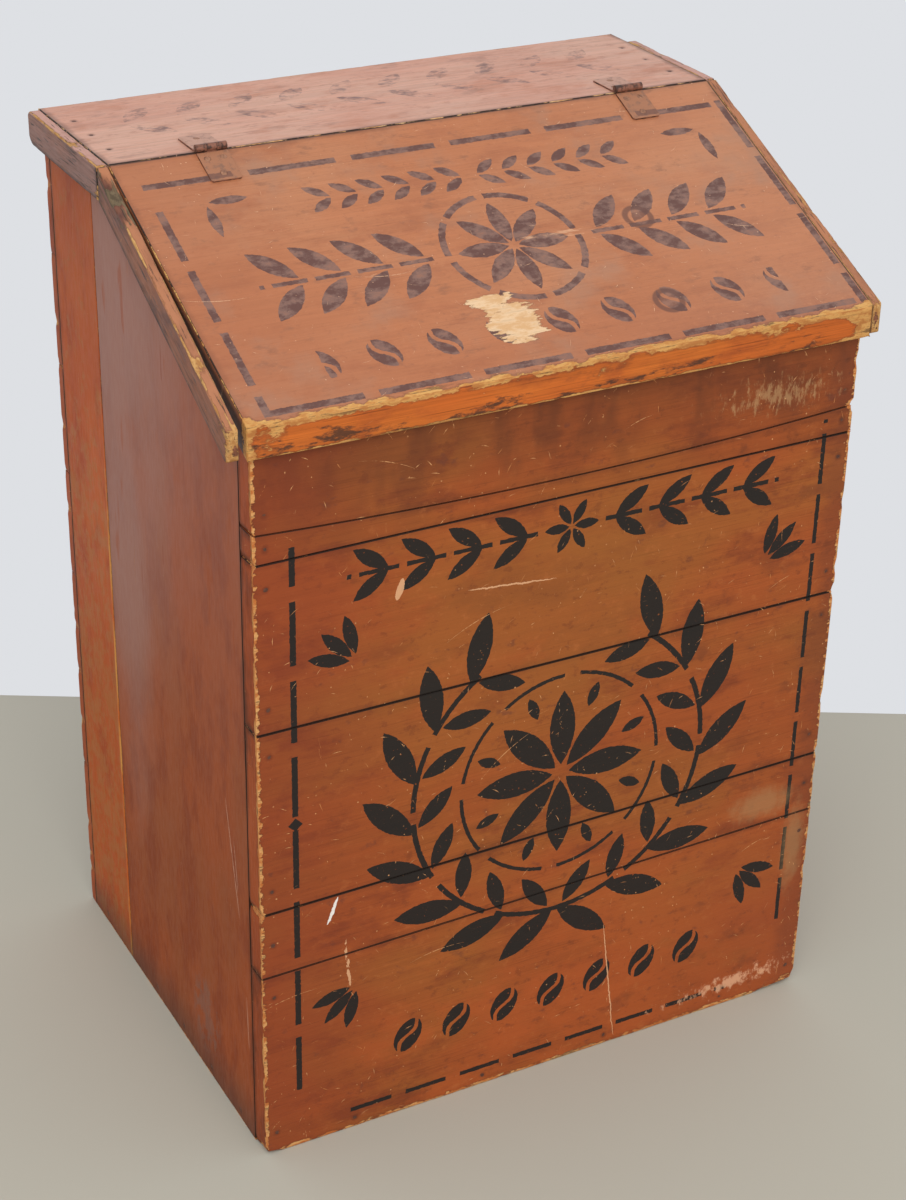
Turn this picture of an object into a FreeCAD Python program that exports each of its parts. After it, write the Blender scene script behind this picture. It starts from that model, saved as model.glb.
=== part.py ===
"""Floor-standing store bin: a nailed board case with a sloping, lift-up lid.

Frame: X to the right, Y to the back, Z up, in millimetres. The origin is on the
floor, at the middle of the case's width and depth. Every board, strip, hinge
part and fastener group is its own file in parts/.
"""
import FreeCAD, Part
import math
import os

V = FreeCAD.Vector
X_AXIS = V(1, 0, 0)
Y_AXIS = V(0, 1, 0)
Z_AXIS = V(0, 0, 1)

# --- Case ------------------------------------------------------------------
CASE_WIDTH = 560.0
CASE_DEPTH = 432.0            # face of the front boards to face of the back boards
CASE_HEIGHT = 823.0           # floor to the upper face of the top board
FRONT_THICKNESS = 23.0
SIDE_THICKNESS = 22.0
BACK_THICKNESS = 13.0
FLOOR_THICKNESS = 20.0
EDGE_BREAK = 1.2              # chamfer on the arrises that show

# --- Front boards, from the lid down; the bottom board takes what is left ----
FRONT_BOARD_WIDTHS = (94.5, 152.0, 175.0, 65.0)    # at the left end
FRONT_JOINT_RISES = (3.5, 0.0, 6.0, 9.0)           # right end of each joint above its left
CRACK_ABOVE_JOINT = (26.0, 16.5, 25.0)             # left, middle and right, above the first joint
CRACK_WIDTH = 0.5

# --- Side, back and floor boards ---------------------------------------------
SIDE_BACK_BOARD_WIDTH = 99.0
BACK_BOARD_WIDTH = 105.5
FLOOR_BOARD_COUNT = 3
JOINT_GAP = 0.4               # open line between two boards
TONGUE_THICKNESS = 6.0
BACK_TONGUE_THICKNESS = 4.0
TONGUE_LENGTH = 6.0
GROOVE_CLEARANCE = 0.3

# --- Top board and lid ---------------------------------------------------------
TOP_DEPTH = 166.0
TOP_THICKNESS = 26.0
TOP_BACK_SETBACK = 4.0        # top board's back edge in front of the back face
END_OVERHANG = 4.5            # top board and lid board past each side
LID_SLOPE = 24.0
LID_THICKNESS = 26.0
LID_OVERHANG = 7.0            # lid past the face of the front boards
LID_SEAT_CLEARANCE = 0.3
RIDGE_GAP = 1.2               # between the top board and the lid
CLEAT_SIZE = 20.0             # square battens under the top board

# --- End strips -----------------------------------------------------------------
STRIP_THICKNESS = 9.5
STRIP_HEIGHT = 29.0           # plumb
STRIP_SPRUNG = 6.5            # front end of the left lid strip stands off the lid
STRIP_BROKEN_OFF = 25.0       # missing from the back of the right top strip
STRIP_HEEL_RADIUS = 11.0      # worn back end of the left top strip
STRIP_NOSE_RADIUS = 8.0       # worn front end of the lid strips

# --- Hinges ---------------------------------------------------------------------
HINGE_INSETS = (88.5, 83.5)   # end of the lid board to the left and right hinge's middle
HINGE_WIDTH = 27.0
LEAF_LENGTH = 38.0            # hinge axis to the end of a leaf
LEAF_THICKNESS = 1.6
LEAF_CORNER_CUT = 1.5
BARREL_RADIUS = 3.3
PIN_RADIUS = 1.6
PIN_CLEARANCE = 0.08
PIN_END_STAND = 0.5           # pin past the knuckles at each end
KNUCKLE_GAP = 0.3
SCREW_ROWS = (11.5, 30.0)     # from the hinge axis: a pair of screws, then one
SCREW_PAIR_SPACING = 14.0
SCREW_HEAD_RADIUS = 3.2
SCREW_RADIUS = 1.7            # under the head; the screw tapers to its point
SCREW_LENGTH = 18.0
SCREW_SIDES = 12              # facets round a screw and its holes

# --- Cut nails: square wedges of iron, driven flush or a little deeper ---------------
NAIL_TOP_WIDTH = 4.5
NAIL_POINT_WIDTH = 1.6
NAIL_THICKNESS = 3.0
NAIL_SET = 0.5                # top of the nail below the wood's face
LONG_NAIL = 55.0
SHORT_NAIL = 32.0
STRIP_NAIL = 20.0
NAIL_END_MARGIN = 22.0        # nail to the edge of its board, at most
TOP_NAIL_MARGIN = 37.0        # end nails of the top board, clear of the back boards' nails
CLEAT_NAIL_COUNT = 4

# --- Worked out from the sizes above ----------------------------------------------
FRONT_Y = -CASE_DEPTH / 2
BACK_Y = CASE_DEPTH / 2
SIDE_FRONT_Y = FRONT_Y + FRONT_THICKNESS
SIDE_BACK_Y = BACK_Y - BACK_THICKNESS
SIDE_X = CASE_WIDTH / 2
INNER_X = SIDE_X - SIDE_THICKNESS
TOP_BACK_Y = BACK_Y - TOP_BACK_SETBACK
RIDGE_Y = TOP_BACK_Y - TOP_DEPTH
TOP_UNDERSIDE = CASE_HEIGHT - TOP_THICKNESS
BOARD_END_X = SIDE_X + END_OVERHANG
LID_FRONT_Y = FRONT_Y - LID_OVERHANG
LID_BACK_Y = RIDGE_Y - RIDGE_GAP / 2
TOP_FRONT_Y = RIDGE_Y + RIDGE_GAP / 2
SLOPE = math.radians(LID_SLOPE)
HINGE_Y = RIDGE_Y - BARREL_RADIUS * math.tan(SLOPE / 2)
HINGE_Z = CASE_HEIGHT + BARREL_RADIUS
HINGE_XS = (-BOARD_END_X + HINGE_INSETS[0], BOARD_END_X - HINGE_INSETS[1])
SPRUNG_ANGLE = math.degrees(math.asin(STRIP_SPRUNG * math.cos(SLOPE) / (LID_BACK_Y - LID_FRONT_Y)))


def lid_top(y):
    """Height of the lid's upper face at a depth in the case."""
    return CASE_HEIGHT - (RIDGE_Y - y) * math.tan(SLOPE)


def lid_seat(y):
    """Height of the case edges that the lid closes on."""
    return lid_top(y) - (LID_THICKNESS + LID_SEAT_CLEARANCE) / math.cos(SLOPE)


# --- Building blocks ----------------------------------------------------------------
def box(low, high):
    return Part.makeBox(high[0] - low[0], high[1] - low[1], high[2] - low[2], V(*low))


def prism(points, travel):
    """Solid swept from a closed outline of straight edges."""
    wire = Part.makePolygon(points + points[:1])
    return Part.Face(wire).extrude(travel)


def side_profile(outline, x_low, x_high):
    """Solid between two X values with a (y, z) outline."""
    return prism([V(x_low, y, z) for y, z in outline], V(x_high - x_low, 0, 0))


def edges_where(shape, test):
    return [e for e in shape.Edges if all(test(v.Point) for v in e.Vertexes)]


def broken_arrises(shape, axis, value, size=EDGE_BREAK):
    """Chamfer the outline of the face that lies at one coordinate."""
    rim = edges_where(shape, lambda p: abs(getattr(p, axis) - value) < 1e-4)
    return shape.makeChamfer(size, rim)


def cut_nail(point, direction, length):
    """A cut nail driven at a point on the wood, and the hole that it makes."""
    half, tip, thick = NAIL_TOP_WIDTH / 2, NAIL_POINT_WIDTH / 2, NAIL_THICKNESS / 2
    hole = Part.makeWedge(-half, 0, -thick, -thick, -tip, half, length, thick, thick, tip)
    above = Part.makeBox(4 * half, NAIL_SET, 4 * thick, V(-2 * half, 0, -2 * thick))
    nail = hole.cut(above)
    turn = FreeCAD.Placement(point, FreeCAD.Rotation(Y_AXIS, direction))
    for shape in (nail, hole):
        shape.Placement = turn
    return nail, hole


def spread(low, high, count, margin=NAIL_END_MARGIN):
    """Evenly spaced places between two edges, kept a margin away from them."""
    inset = min(margin, (high - low) / 4)
    if count == 1:
        return [(low + high) / 2]
    step = (high - low - 2 * inset) / (count - 1)
    return [low + inset + i * step for i in range(count)]


def nails_for_width(width):
    """Two nails hold a board's end, one holds a narrow board's."""
    return 2 if width > 3 * NAIL_END_MARGIN else 1


# --- Front: level boards, tongued upwards ----------------------------------------------
def front_joint(index):
    """Left and right heights of a joint, counted from the lid; after the last comes the floor."""
    if index > len(FRONT_BOARD_WIDTHS):
        return 0.0, 0.0
    left = lid_seat(FRONT_Y) - sum(FRONT_BOARD_WIDTHS[:index])
    return left, left + FRONT_JOINT_RISES[index - 1]


def front_slab(low, high, y_low, y_high):
    """Board between two sloping lines given by their left and right heights."""
    outline = [V(-SIDE_X, y_low, low[0]), V(SIDE_X, y_low, low[1]),
               V(SIDE_X, y_low, high[1]), V(-SIDE_X, y_low, high[0])]
    return prism(outline, V(0, y_high - y_low, 0))


def raised(joint, amount):
    return joint[0] + amount, joint[1] + amount


def front_tongue(joint, clearance):
    """Tongue on a joint, or the groove for it when it is given a clearance."""
    middle = FRONT_Y + FRONT_THICKNESS / 2
    half = TONGUE_THICKNESS / 2 + clearance
    tip = raised(joint, TONGUE_LENGTH + clearance)
    return front_slab(raised(joint, -JOINT_GAP), tip, middle - half, middle + half)


def front_boards():
    """The top board, the strip that has split off it, and the jointed boards below."""
    joint = front_joint(1)
    whole = front_slab(raised(joint, JOINT_GAP), (CASE_HEIGHT, CASE_HEIGHT), FRONT_Y, SIDE_FRONT_Y)
    whole = whole.cut(front_tongue(joint, GROOVE_CLEARANCE)).cut(above_seat())
    lower, upper = sorted(whole.cut(crack_cut(joint)).Solids, key=lambda s: s.CenterOfMass.z)
    boards = {"front_board_1": upper, "front_split_strip": lower}
    last = len(FRONT_BOARD_WIDTHS)
    for index in range(1, last + 1):
        high, low = front_joint(index), front_joint(index + 1)
        bottom = low if index == last else raised(low, JOINT_GAP)
        board = broken_arrises(front_slab(bottom, high, FRONT_Y, SIDE_FRONT_Y), "y", FRONT_Y)
        board = board.fuse(front_tongue(high, 0.0)).removeSplitter()
        if index < last:
            board = board.cut(front_tongue(low, GROOVE_CLEARANCE))
        boards["front_board_%d" % (index + 1)] = board
    return boards


def crack_cut(joint):
    """Thin arched wall that parts the split strip from its board."""
    levels = (joint[0] + CRACK_ABOVE_JOINT[0],
              (joint[0] + joint[1]) / 2 + CRACK_ABOVE_JOINT[1],
              joint[1] + CRACK_ABOVE_JOINT[2])
    xs = (-SIDE_X, 0.0, SIDE_X)

    def arc(lift):
        ends = [V(x, FRONT_Y, level + lift) for x, level in zip(xs, levels)]
        return Part.Arc(*ends).toShape(), ends[0], ends[2]

    low, low_left, low_right = arc(0.0)
    high, high_left, high_right = arc(CRACK_WIDTH)
    rim = [low, Part.makeLine(low_right, high_right), high, Part.makeLine(high_left, low_left)]
    return Part.Face(Part.Wire(Part.__sortEdges__(rim))).extrude(V(0, FRONT_THICKNESS, 0))


def above_seat():
    """Everything over the slope that the lid closes on."""
    reach = CASE_DEPTH
    outline = [(FRONT_Y - reach, lid_seat(FRONT_Y - reach)), (BACK_Y, lid_seat(BACK_Y)),
               (BACK_Y, CASE_HEIGHT + reach), (FRONT_Y - reach, CASE_HEIGHT + reach)]
    return side_profile(outline, -CASE_WIDTH, CASE_WIDTH)


# --- Sides: two upright boards each ---------------------------------------------------------
def side_boards(sign):
    """Wide front board and narrow back board of one side; sign is -1 left, 1 right."""
    joint = SIDE_BACK_Y - SIDE_BACK_BOARD_WIDTH
    middle = sign * (SIDE_X - SIDE_THICKNESS / 2)
    xs = sorted((sign * INNER_X, sign * SIDE_X))
    outline = [(SIDE_FRONT_Y, 0.0), (joint - JOINT_GAP, 0.0), (joint - JOINT_GAP, TOP_UNDERSIDE),
               (RIDGE_Y, TOP_UNDERSIDE), (RIDGE_Y, lid_seat(RIDGE_Y)),
               (SIDE_FRONT_Y, lid_seat(SIDE_FRONT_Y))]
    wide = side_profile(outline, *xs)
    narrow = box((xs[0], joint, 0.0), (xs[1], SIDE_BACK_Y, TOP_UNDERSIDE))

    def tongue(clearance):
        half = TONGUE_THICKNESS / 2 + clearance
        return box((middle - half, joint - JOINT_GAP - TONGUE_LENGTH - clearance, 0.0),
                   (middle + half, joint, TOP_UNDERSIDE))

    joint_arris = edges_where(wide, lambda p: abs(p.x - sign * SIDE_X) < 1e-4
                              and abs(p.y - joint + JOINT_GAP) < 1e-4)
    wide = wide.makeChamfer(EDGE_BREAK, joint_arris)
    joint_arris = edges_where(narrow, lambda p: abs(p.x - sign * SIDE_X) < 1e-4
                              and abs(p.y - joint) < 1e-4)
    narrow = narrow.makeChamfer(EDGE_BREAK, joint_arris)
    return wide.cut(tongue(GROOVE_CLEARANCE)), narrow.fuse(tongue(0.0)).removeSplitter()


# --- Back: level boards, counted from the top -------------------------------------------------
def back_boards():
    """Full-width boards downwards from the top board; the last takes what is left."""
    count = max(2, round(TOP_UNDERSIDE / BACK_BOARD_WIDTH))
    middle = BACK_Y - BACK_THICKNESS / 2
    boards = []
    for index in range(count):
        high = TOP_UNDERSIDE - index * BACK_BOARD_WIDTH
        low = 0.0 if index == count - 1 else high - BACK_BOARD_WIDTH
        foot = low if index == count - 1 else low + JOINT_GAP
        board = box((-SIDE_X, SIDE_BACK_Y, foot), (SIDE_X, BACK_Y, high))
        board = broken_arrises(board, "y", BACK_Y)

        def tongue(joint, clearance):
            half = BACK_TONGUE_THICKNESS / 2 + clearance
            return box((-SIDE_X, middle - half, joint - JOINT_GAP),
                       (SIDE_X, middle + half, joint + TONGUE_LENGTH + clearance))

        if index:
            board = board.fuse(tongue(high, 0.0)).removeSplitter()
        if index < count - 1:
            board = board.cut(tongue(low, GROOVE_CLEARANCE))
        boards.append(board)
    return boards


def floor_boards():
    """Boards from side to side, level with the foot of the case."""
    width = (SIDE_BACK_Y - SIDE_FRONT_Y) / FLOOR_BOARD_COUNT
    boards = []
    for index in range(FLOOR_BOARD_COUNT):
        front = SIDE_FRONT_Y + index * width + (JOINT_GAP if index else 0.0)
        back = SIDE_FRONT_Y + (index + 1) * width
        boards.append(box((-INNER_X, front, 0.0), (INNER_X, back, FLOOR_THICKNESS)))
    return boards


def top_cleat(sign):
    """Batten under the top board that ties the two boards of a side together."""
    xs = sorted((sign * INNER_X, sign * (INNER_X - CLEAT_SIZE)))
    return box((xs[0], TOP_FRONT_Y, TOP_UNDERSIDE - CLEAT_SIZE), (xs[1], SIDE_BACK_Y, TOP_UNDERSIDE))


# --- Top board, lid and end strips ---------------------------------------------------------------
def top_board():
    board = box((-BOARD_END_X, TOP_FRONT_Y, TOP_UNDERSIDE), (BOARD_END_X, TOP_BACK_Y, CASE_HEIGHT))
    return broken_arrises(board, "y", TOP_BACK_Y, 2 * EDGE_BREAK)


def lid_outline(plumb_height):
    """Side outline of something as long as the lid, cut plumb at both ends."""
    return [(LID_BACK_Y, lid_top(LID_BACK_Y)), (LID_FRONT_Y, lid_top(LID_FRONT_Y)),
            (LID_FRONT_Y, lid_top(LID_FRONT_Y) - plumb_height),
            (LID_BACK_Y, lid_top(LID_BACK_Y) - plumb_height)]


def lid_board():
    outline = lid_outline(LID_THICKNESS / math.cos(SLOPE))
    board = side_profile(outline, -BOARD_END_X, BOARD_END_X)
    nose = edges_where(board, lambda p: abs(p.y - LID_FRONT_Y) < 1e-4)
    level = [e for e in nose if abs(e.Vertexes[0].Z - e.Vertexes[1].Z) < 1e-4]
    return board.makeFillet(2 * EDGE_BREAK, level)


def top_strip(sign, length):
    """Strip nailed over an end of the top board; the left one is worn round at its heel."""
    xs = sorted((sign * BOARD_END_X, sign * (BOARD_END_X + STRIP_THICKNESS)))
    heel = TOP_FRONT_Y + length
    strip = box((xs[0], TOP_FRONT_Y, CASE_HEIGHT - STRIP_HEIGHT), (xs[1], heel, CASE_HEIGHT))
    lower = edges_where(strip, lambda p: abs(p.y - heel) < 1e-4 and p.z < CASE_HEIGHT - 1e-4)
    return strip.makeFillet(min(STRIP_HEEL_RADIUS, STRIP_HEIGHT / 2 - 1), lower)


def lid_strip(sign, sprung_angle):
    """Strip nailed over an end of the lid, swung out about its ridge end when it has sprung."""
    inner = sign * BOARD_END_X
    xs = sorted((inner, sign * (BOARD_END_X + STRIP_THICKNESS)))
    strip = side_profile(lid_outline(STRIP_HEIGHT), *xs)
    foot = lid_top(LID_FRONT_Y) - STRIP_HEIGHT
    nose = edges_where(strip, lambda p: abs(p.y - LID_FRONT_Y) < 1e-4 and abs(p.z - foot) < 1e-4)
    strip = strip.makeFillet(STRIP_NOSE_RADIUS, nose)
    normal = V(0, -math.sin(SLOPE), math.cos(SLOPE))
    strip.rotate(V(inner, LID_BACK_Y, lid_top(LID_BACK_Y)), normal, sign * sprung_angle)
    return strip


# --- Hinges, drawn about their own axis with the leaf along +Y ------------------------------------
def knuckle_spans():
    """X ranges of the three knuckles of a hinge, from its middle."""
    length = (HINGE_WIDTH - 2 * KNUCKLE_GAP) / 3
    starts = [-HINGE_WIDTH / 2 + i * (length + KNUCKLE_GAP) for i in range(3)]
    return [(start, start + length) for start in starts]


def screw_places():
    """Screw centres on a leaf, from the hinge's middle and axis."""
    near, far = SCREW_ROWS
    half = SCREW_PAIR_SPACING / 2
    return [(-half, near), (half, near), (0.0, far)]


def hinge_leaf(spans):
    """Leaf with its rolled knuckles and countersunk screw holes."""
    under = -BARREL_RADIUS
    start = BARREL_RADIUS + KNUCKLE_GAP
    leaf = box((-HINGE_WIDTH / 2, start, under), (HINGE_WIDTH / 2, LEAF_LENGTH, under + LEAF_THICKNESS))
    corners = edges_where(leaf, lambda p: abs(p.y - LEAF_LENGTH) < 1e-4)
    upright = [e for e in corners if abs(e.Vertexes[0].Z - e.Vertexes[1].Z) > 1e-4]
    leaf = leaf.makeChamfer(LEAF_CORNER_CUT, upright)
    for low, high in spans:
        roll = Part.makeCylinder(BARREL_RADIUS, high - low, V(low, 0, 0), X_AXIS)
        web = box((low, 0.0, under), (high, start, under + LEAF_THICKNESS))
        leaf = leaf.fuse([roll, web])
    bore = Part.makeCylinder(PIN_RADIUS + PIN_CLEARANCE, HINGE_WIDTH, V(-HINGE_WIDTH / 2, 0, 0), X_AXIS)
    leaf = leaf.cut(bore)
    for x, y in screw_places():
        leaf = leaf.cut(wood_screw(V(x, y, under + LEAF_THICKNESS)))
    return leaf.removeSplitter()


def ring(radius, centre):
    """Corners of a screw's outline at one depth."""
    corner = V(radius, 0, 0)
    turns = [FreeCAD.Rotation(Z_AXIS, 360 * i / SCREW_SIDES) for i in range(SCREW_SIDES)]
    return [centre + turn.multVec(corner) for turn in turns]


def flat_face(corners):
    return Part.Face(Part.makePolygon(corners + corners[:1]))


def faceted_cone(upper, lower):
    """Solid with flat sides between two outlines of a screw."""
    sides = [flat_face([upper[i - 1], upper[i], lower[i], lower[i - 1]]) for i in range(SCREW_SIDES)]
    return Part.makeSolid(Part.makeShell(sides + [flat_face(upper), flat_face(lower)]))


def wood_screw(point):
    """Countersunk wood screw with its head flush with a point on the leaf's face."""
    neck = point - V(0, 0, LEAF_THICKNESS)
    tip = point - V(0, 0, SCREW_LENGTH)
    head = faceted_cone(ring(SCREW_HEAD_RADIUS, point), ring(SCREW_RADIUS, neck))
    shank = faceted_cone(ring(SCREW_RADIUS, neck), ring(SCREW_RADIUS / 2, tip))
    return head.fuse(shank)


def hinge_pin():
    length = HINGE_WIDTH + 2 * PIN_END_STAND
    return Part.makeCylinder(PIN_RADIUS, length, V(-length / 2, 0, 0), X_AXIS)


def on_top(shape, hinge_x):
    """Set a hinge part on the top board."""
    placed = shape.copy()
    placed.translate(V(hinge_x, HINGE_Y, HINGE_Z))
    return placed


def on_lid(shape, hinge_x):
    """Turn a hinge part to the front and down the slope, on the same axis."""
    placed = shape.copy()
    placed.rotate(V(0, 0, 0), Z_AXIS, 180)
    placed.rotate(V(0, 0, 0), X_AXIS, LID_SLOPE)
    placed.translate(V(hinge_x, HINGE_Y, HINGE_Z))
    return placed


# --- Nails: (point, direction, length) for each one ------------------------------------------------
def front_nails():
    """Through the front boards into the sides, and along the foot into the floor."""
    x = SIDE_X - SIDE_THICKNESS / 2
    places = []
    for end, side in ((0, -1), (1, 1)):
        joint = front_joint(1)[end]
        crack = joint + CRACK_ABOVE_JOINT[2 * end]
        heights = spread(crack, lid_seat(FRONT_Y), 2) + [(joint + crack) / 2]
        for index in range(1, len(FRONT_BOARD_WIDTHS) + 1):
            high, low = front_joint(index)[end], front_joint(index + 1)[end]
            heights += spread(low, high, nails_for_width(high - low))
        places += [(V(side * x, FRONT_Y, z), Y_AXIS, LONG_NAIL) for z in heights]
    for x_floor in spread(-INNER_X, INNER_X, 4, INNER_X / 4):
        places.append((V(x_floor, FRONT_Y, FLOOR_THICKNESS / 2), Y_AXIS, LONG_NAIL))
    return places


def side_nails():
    """Through the sides into the ends of the floor boards."""
    width = (SIDE_BACK_Y - SIDE_FRONT_Y) / FLOOR_BOARD_COUNT
    places = []
    for index in range(FLOOR_BOARD_COUNT):
        front = SIDE_FRONT_Y + index * width
        for y in spread(front, front + width, 2, width / 4):
            for side in (-1, 1):
                places.append((V(side * SIDE_X, y, FLOOR_THICKNESS / 2), X_AXIS * -side, LONG_NAIL))
    return places


def back_nails(boards):
    x = SIDE_X - SIDE_THICKNESS / 2
    places = []
    for board in boards:
        low, high = board.BoundBox.ZMin, board.BoundBox.ZMax - TONGUE_LENGTH
        for z in spread(low, high, nails_for_width(high - low)):
            for side in (-1, 1):
                places.append((V(side * x, BACK_Y, z), Y_AXIS * -1, SHORT_NAIL))
    return places


def top_nails():
    """Down through the top board into the ends of the side boards."""
    x = SIDE_X - SIDE_THICKNESS / 2
    return [(V(side * x, y, CASE_HEIGHT), Z_AXIS * -1, LONG_NAIL)
            for side in (-1, 1) for y in spread(TOP_FRONT_Y, SIDE_BACK_Y, 3, TOP_NAIL_MARGIN)]


def cleat_nails():
    z = TOP_UNDERSIDE - CLEAT_SIZE / 2
    x = INNER_X - CLEAT_SIZE
    return [(V(side * x, y, z), X_AXIS * side, SHORT_NAIL)
            for side in (-1, 1)
            for y in spread(TOP_FRONT_Y, SIDE_BACK_Y, CLEAT_NAIL_COUNT, CLEAT_SIZE / 2)]


def top_strip_nails(lengths):
    z = CASE_HEIGHT - TOP_THICKNESS / 2
    x = BOARD_END_X + STRIP_THICKNESS
    return [(V(side * x, y, z), X_AXIS * -side, STRIP_NAIL)
            for side, length in zip((-1, 1), lengths)
            for y in spread(TOP_FRONT_Y, TOP_FRONT_Y + length, 3)]


def lid_strip_nails():
    """Into the lid's ends; the left ones stand out with the sprung strip."""
    places = []
    for side, angle in ((-1, SPRUNG_ANGLE), (1, 0.0)):
        for y in spread(LID_FRONT_Y, LID_BACK_Y, 4):
            along = (LID_BACK_Y - y) / math.cos(SLOPE)
            out = BOARD_END_X + STRIP_THICKNESS + along * math.sin(math.radians(angle))
            z = lid_top(y) - LID_THICKNESS / 2 / math.cos(SLOPE)
            places.append((V(side * out, y, z), X_AXIS * -side, SHORT_NAIL))
    return places


def driven(places):
    """The nails of a group and the holes that they make."""
    pairs = [cut_nail(*place) for place in places]
    return Part.Compound([nail for nail, hole in pairs]), [hole for nail, hole in pairs]


def pierced(shape, holes):
    """A board with the holes of every fastener that reaches it."""
    near = [hole for hole in holes if hole.BoundBox.intersect(shape.BoundBox)]
    return shape.cut(near) if near else shape


# --- Assembly ----------------------------------------------------------------------------------------
def wooden_parts():
    boards = front_boards()
    for name, sign in (("left", -1), ("right", 1)):
        wide, narrow = side_boards(sign)
        boards["side_board_%s_front" % name] = wide
        boards["side_board_%s_back" % name] = narrow
        boards["top_cleat_%s" % name] = top_cleat(sign)
    for index, board in enumerate(back_boards(), 1):
        boards["back_board_%d" % index] = board
    for index, board in enumerate(floor_boards(), 1):
        boards["floor_board_%d" % index] = board
    left_length, right_length = top_strip_lengths()
    boards["top_board"] = top_board()
    boards["top_end_strip_left"] = top_strip(-1, left_length)
    boards["top_end_strip_right"] = top_strip(1, right_length)
    boards["lid_board"] = lid_board()
    boards["lid_end_strip_left"] = lid_strip(-1, SPRUNG_ANGLE)
    boards["lid_end_strip_right"] = lid_strip(1, 0.0)
    return boards


def top_strip_lengths():
    full = TOP_BACK_Y - TOP_FRONT_Y
    return full, full - STRIP_BROKEN_OFF


def hinge_parts():
    outer_left, middle, outer_right = knuckle_spans()
    fixed, moving, pin = hinge_leaf((outer_left, outer_right)), hinge_leaf((middle,)), hinge_pin()
    parts = {}
    for name, hinge_x in zip(("left", "right"), HINGE_XS):
        parts["hinge_leaf_fixed_" + name] = on_top(fixed, hinge_x)
        parts["hinge_leaf_moving_" + name] = on_lid(moving, hinge_x)
        parts["hinge_pin_" + name] = on_top(pin, hinge_x)
    return parts


def screw_groups():
    """Screws of the fixed and the moving leaves."""
    face = -BARREL_RADIUS + LEAF_THICKNESS
    screws = [wood_screw(V(x, y, face)) for x, y in screw_places()]
    fixed = [on_top(screw, hinge_x) for hinge_x in HINGE_XS for screw in screws]
    moving = [on_lid(screw, hinge_x) for hinge_x in HINGE_XS for screw in screws]
    return {"hinge_screws_top": fixed, "hinge_screws_lid": moving}


def build():
    boards = wooden_parts()
    backs = [shape for name, shape in boards.items() if name.startswith("back_board")]
    nail_places = {
        "front_nails": front_nails(),
        "side_nails": side_nails(),
        "back_nails": back_nails(backs),
        "top_nails": top_nails(),
        "cleat_nails": cleat_nails(),
        "top_strip_nails": top_strip_nails(top_strip_lengths()),
        "lid_strip_nails": lid_strip_nails(),
    }
    fasteners, holes = {}, []
    for name, places in nail_places.items():
        fasteners[name], made = driven(places)
        holes += made
    for name, screws in screw_groups().items():
        fasteners[name] = Part.Compound(screws)
        holes += screws
    parts = {name: pierced(shape, holes) for name, shape in boards.items()}
    parts.update(hinge_parts())
    parts.update(fasteners)
    return parts


os.makedirs("parts", exist_ok=True)
for node, shape in build().items():
    shape.exportStep("parts/%s.step" % node)
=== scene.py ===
"""A painted pine store bin: old boards with worn arrises, stencilled fields and small iron hinges.

Lengths are in millimetres until a mesh or a light is made. X is to the right, Y to the back and
Z up. A board's own places run along its grain, across it, and from its hidden to its shown face.
"""

import functools
import math
import random

import bmesh
import bpy
import numpy as np
from mathutils import Matrix, Vector, noise


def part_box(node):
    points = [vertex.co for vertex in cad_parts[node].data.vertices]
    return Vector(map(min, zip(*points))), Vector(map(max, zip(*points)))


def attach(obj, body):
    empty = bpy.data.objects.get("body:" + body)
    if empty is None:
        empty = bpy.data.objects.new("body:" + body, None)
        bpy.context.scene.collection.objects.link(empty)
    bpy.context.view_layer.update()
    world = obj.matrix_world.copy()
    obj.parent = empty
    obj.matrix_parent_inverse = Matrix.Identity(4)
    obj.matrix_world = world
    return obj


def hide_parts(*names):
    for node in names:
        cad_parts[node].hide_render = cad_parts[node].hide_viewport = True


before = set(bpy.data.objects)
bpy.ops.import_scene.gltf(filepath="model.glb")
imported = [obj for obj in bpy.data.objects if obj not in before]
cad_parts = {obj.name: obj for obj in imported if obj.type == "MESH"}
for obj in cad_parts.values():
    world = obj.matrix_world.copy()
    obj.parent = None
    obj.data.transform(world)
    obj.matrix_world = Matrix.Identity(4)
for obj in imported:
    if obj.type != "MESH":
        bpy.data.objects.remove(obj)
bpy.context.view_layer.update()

MM = 0.001

# --- Camera, light and stage ----------------------------------------------------------------------
CAMERA_PLACE = (-922.46, -1720.91, 1445.87)
CAMERA_HEADING = 28.503       # degrees to the right of straight ahead
CAMERA_DIP = 28.566           # degrees below the horizon
CAMERA_ROLL = 1.198
CAMERA_LENS = 72.588          # for a picture 36 mm high
WALL_DISTANCE = 450.0         # from the middle of the bin, away from the camera
FLOOR_REACH = 9000.0


# --- What the frame says --------------------------------------------------------------------------
def corners(node):
    """Lowest and highest corner of a node."""
    low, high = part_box(node)
    return np.array(low) / MM, np.array(high) / MM


def met(node, start, way):
    """Where a straight line first meets a node."""
    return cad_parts[node].ray_cast(Vector(start) * MM, Vector(way))[1] / MM


ABOVE, BELOW = 900.0, -50.0    # heights clear of the whole bin


def top_of(node, x, y):
    """Height of a node's upper face."""
    return met(node, (x, y, ABOVE), (0, 0, -1)).z


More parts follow.
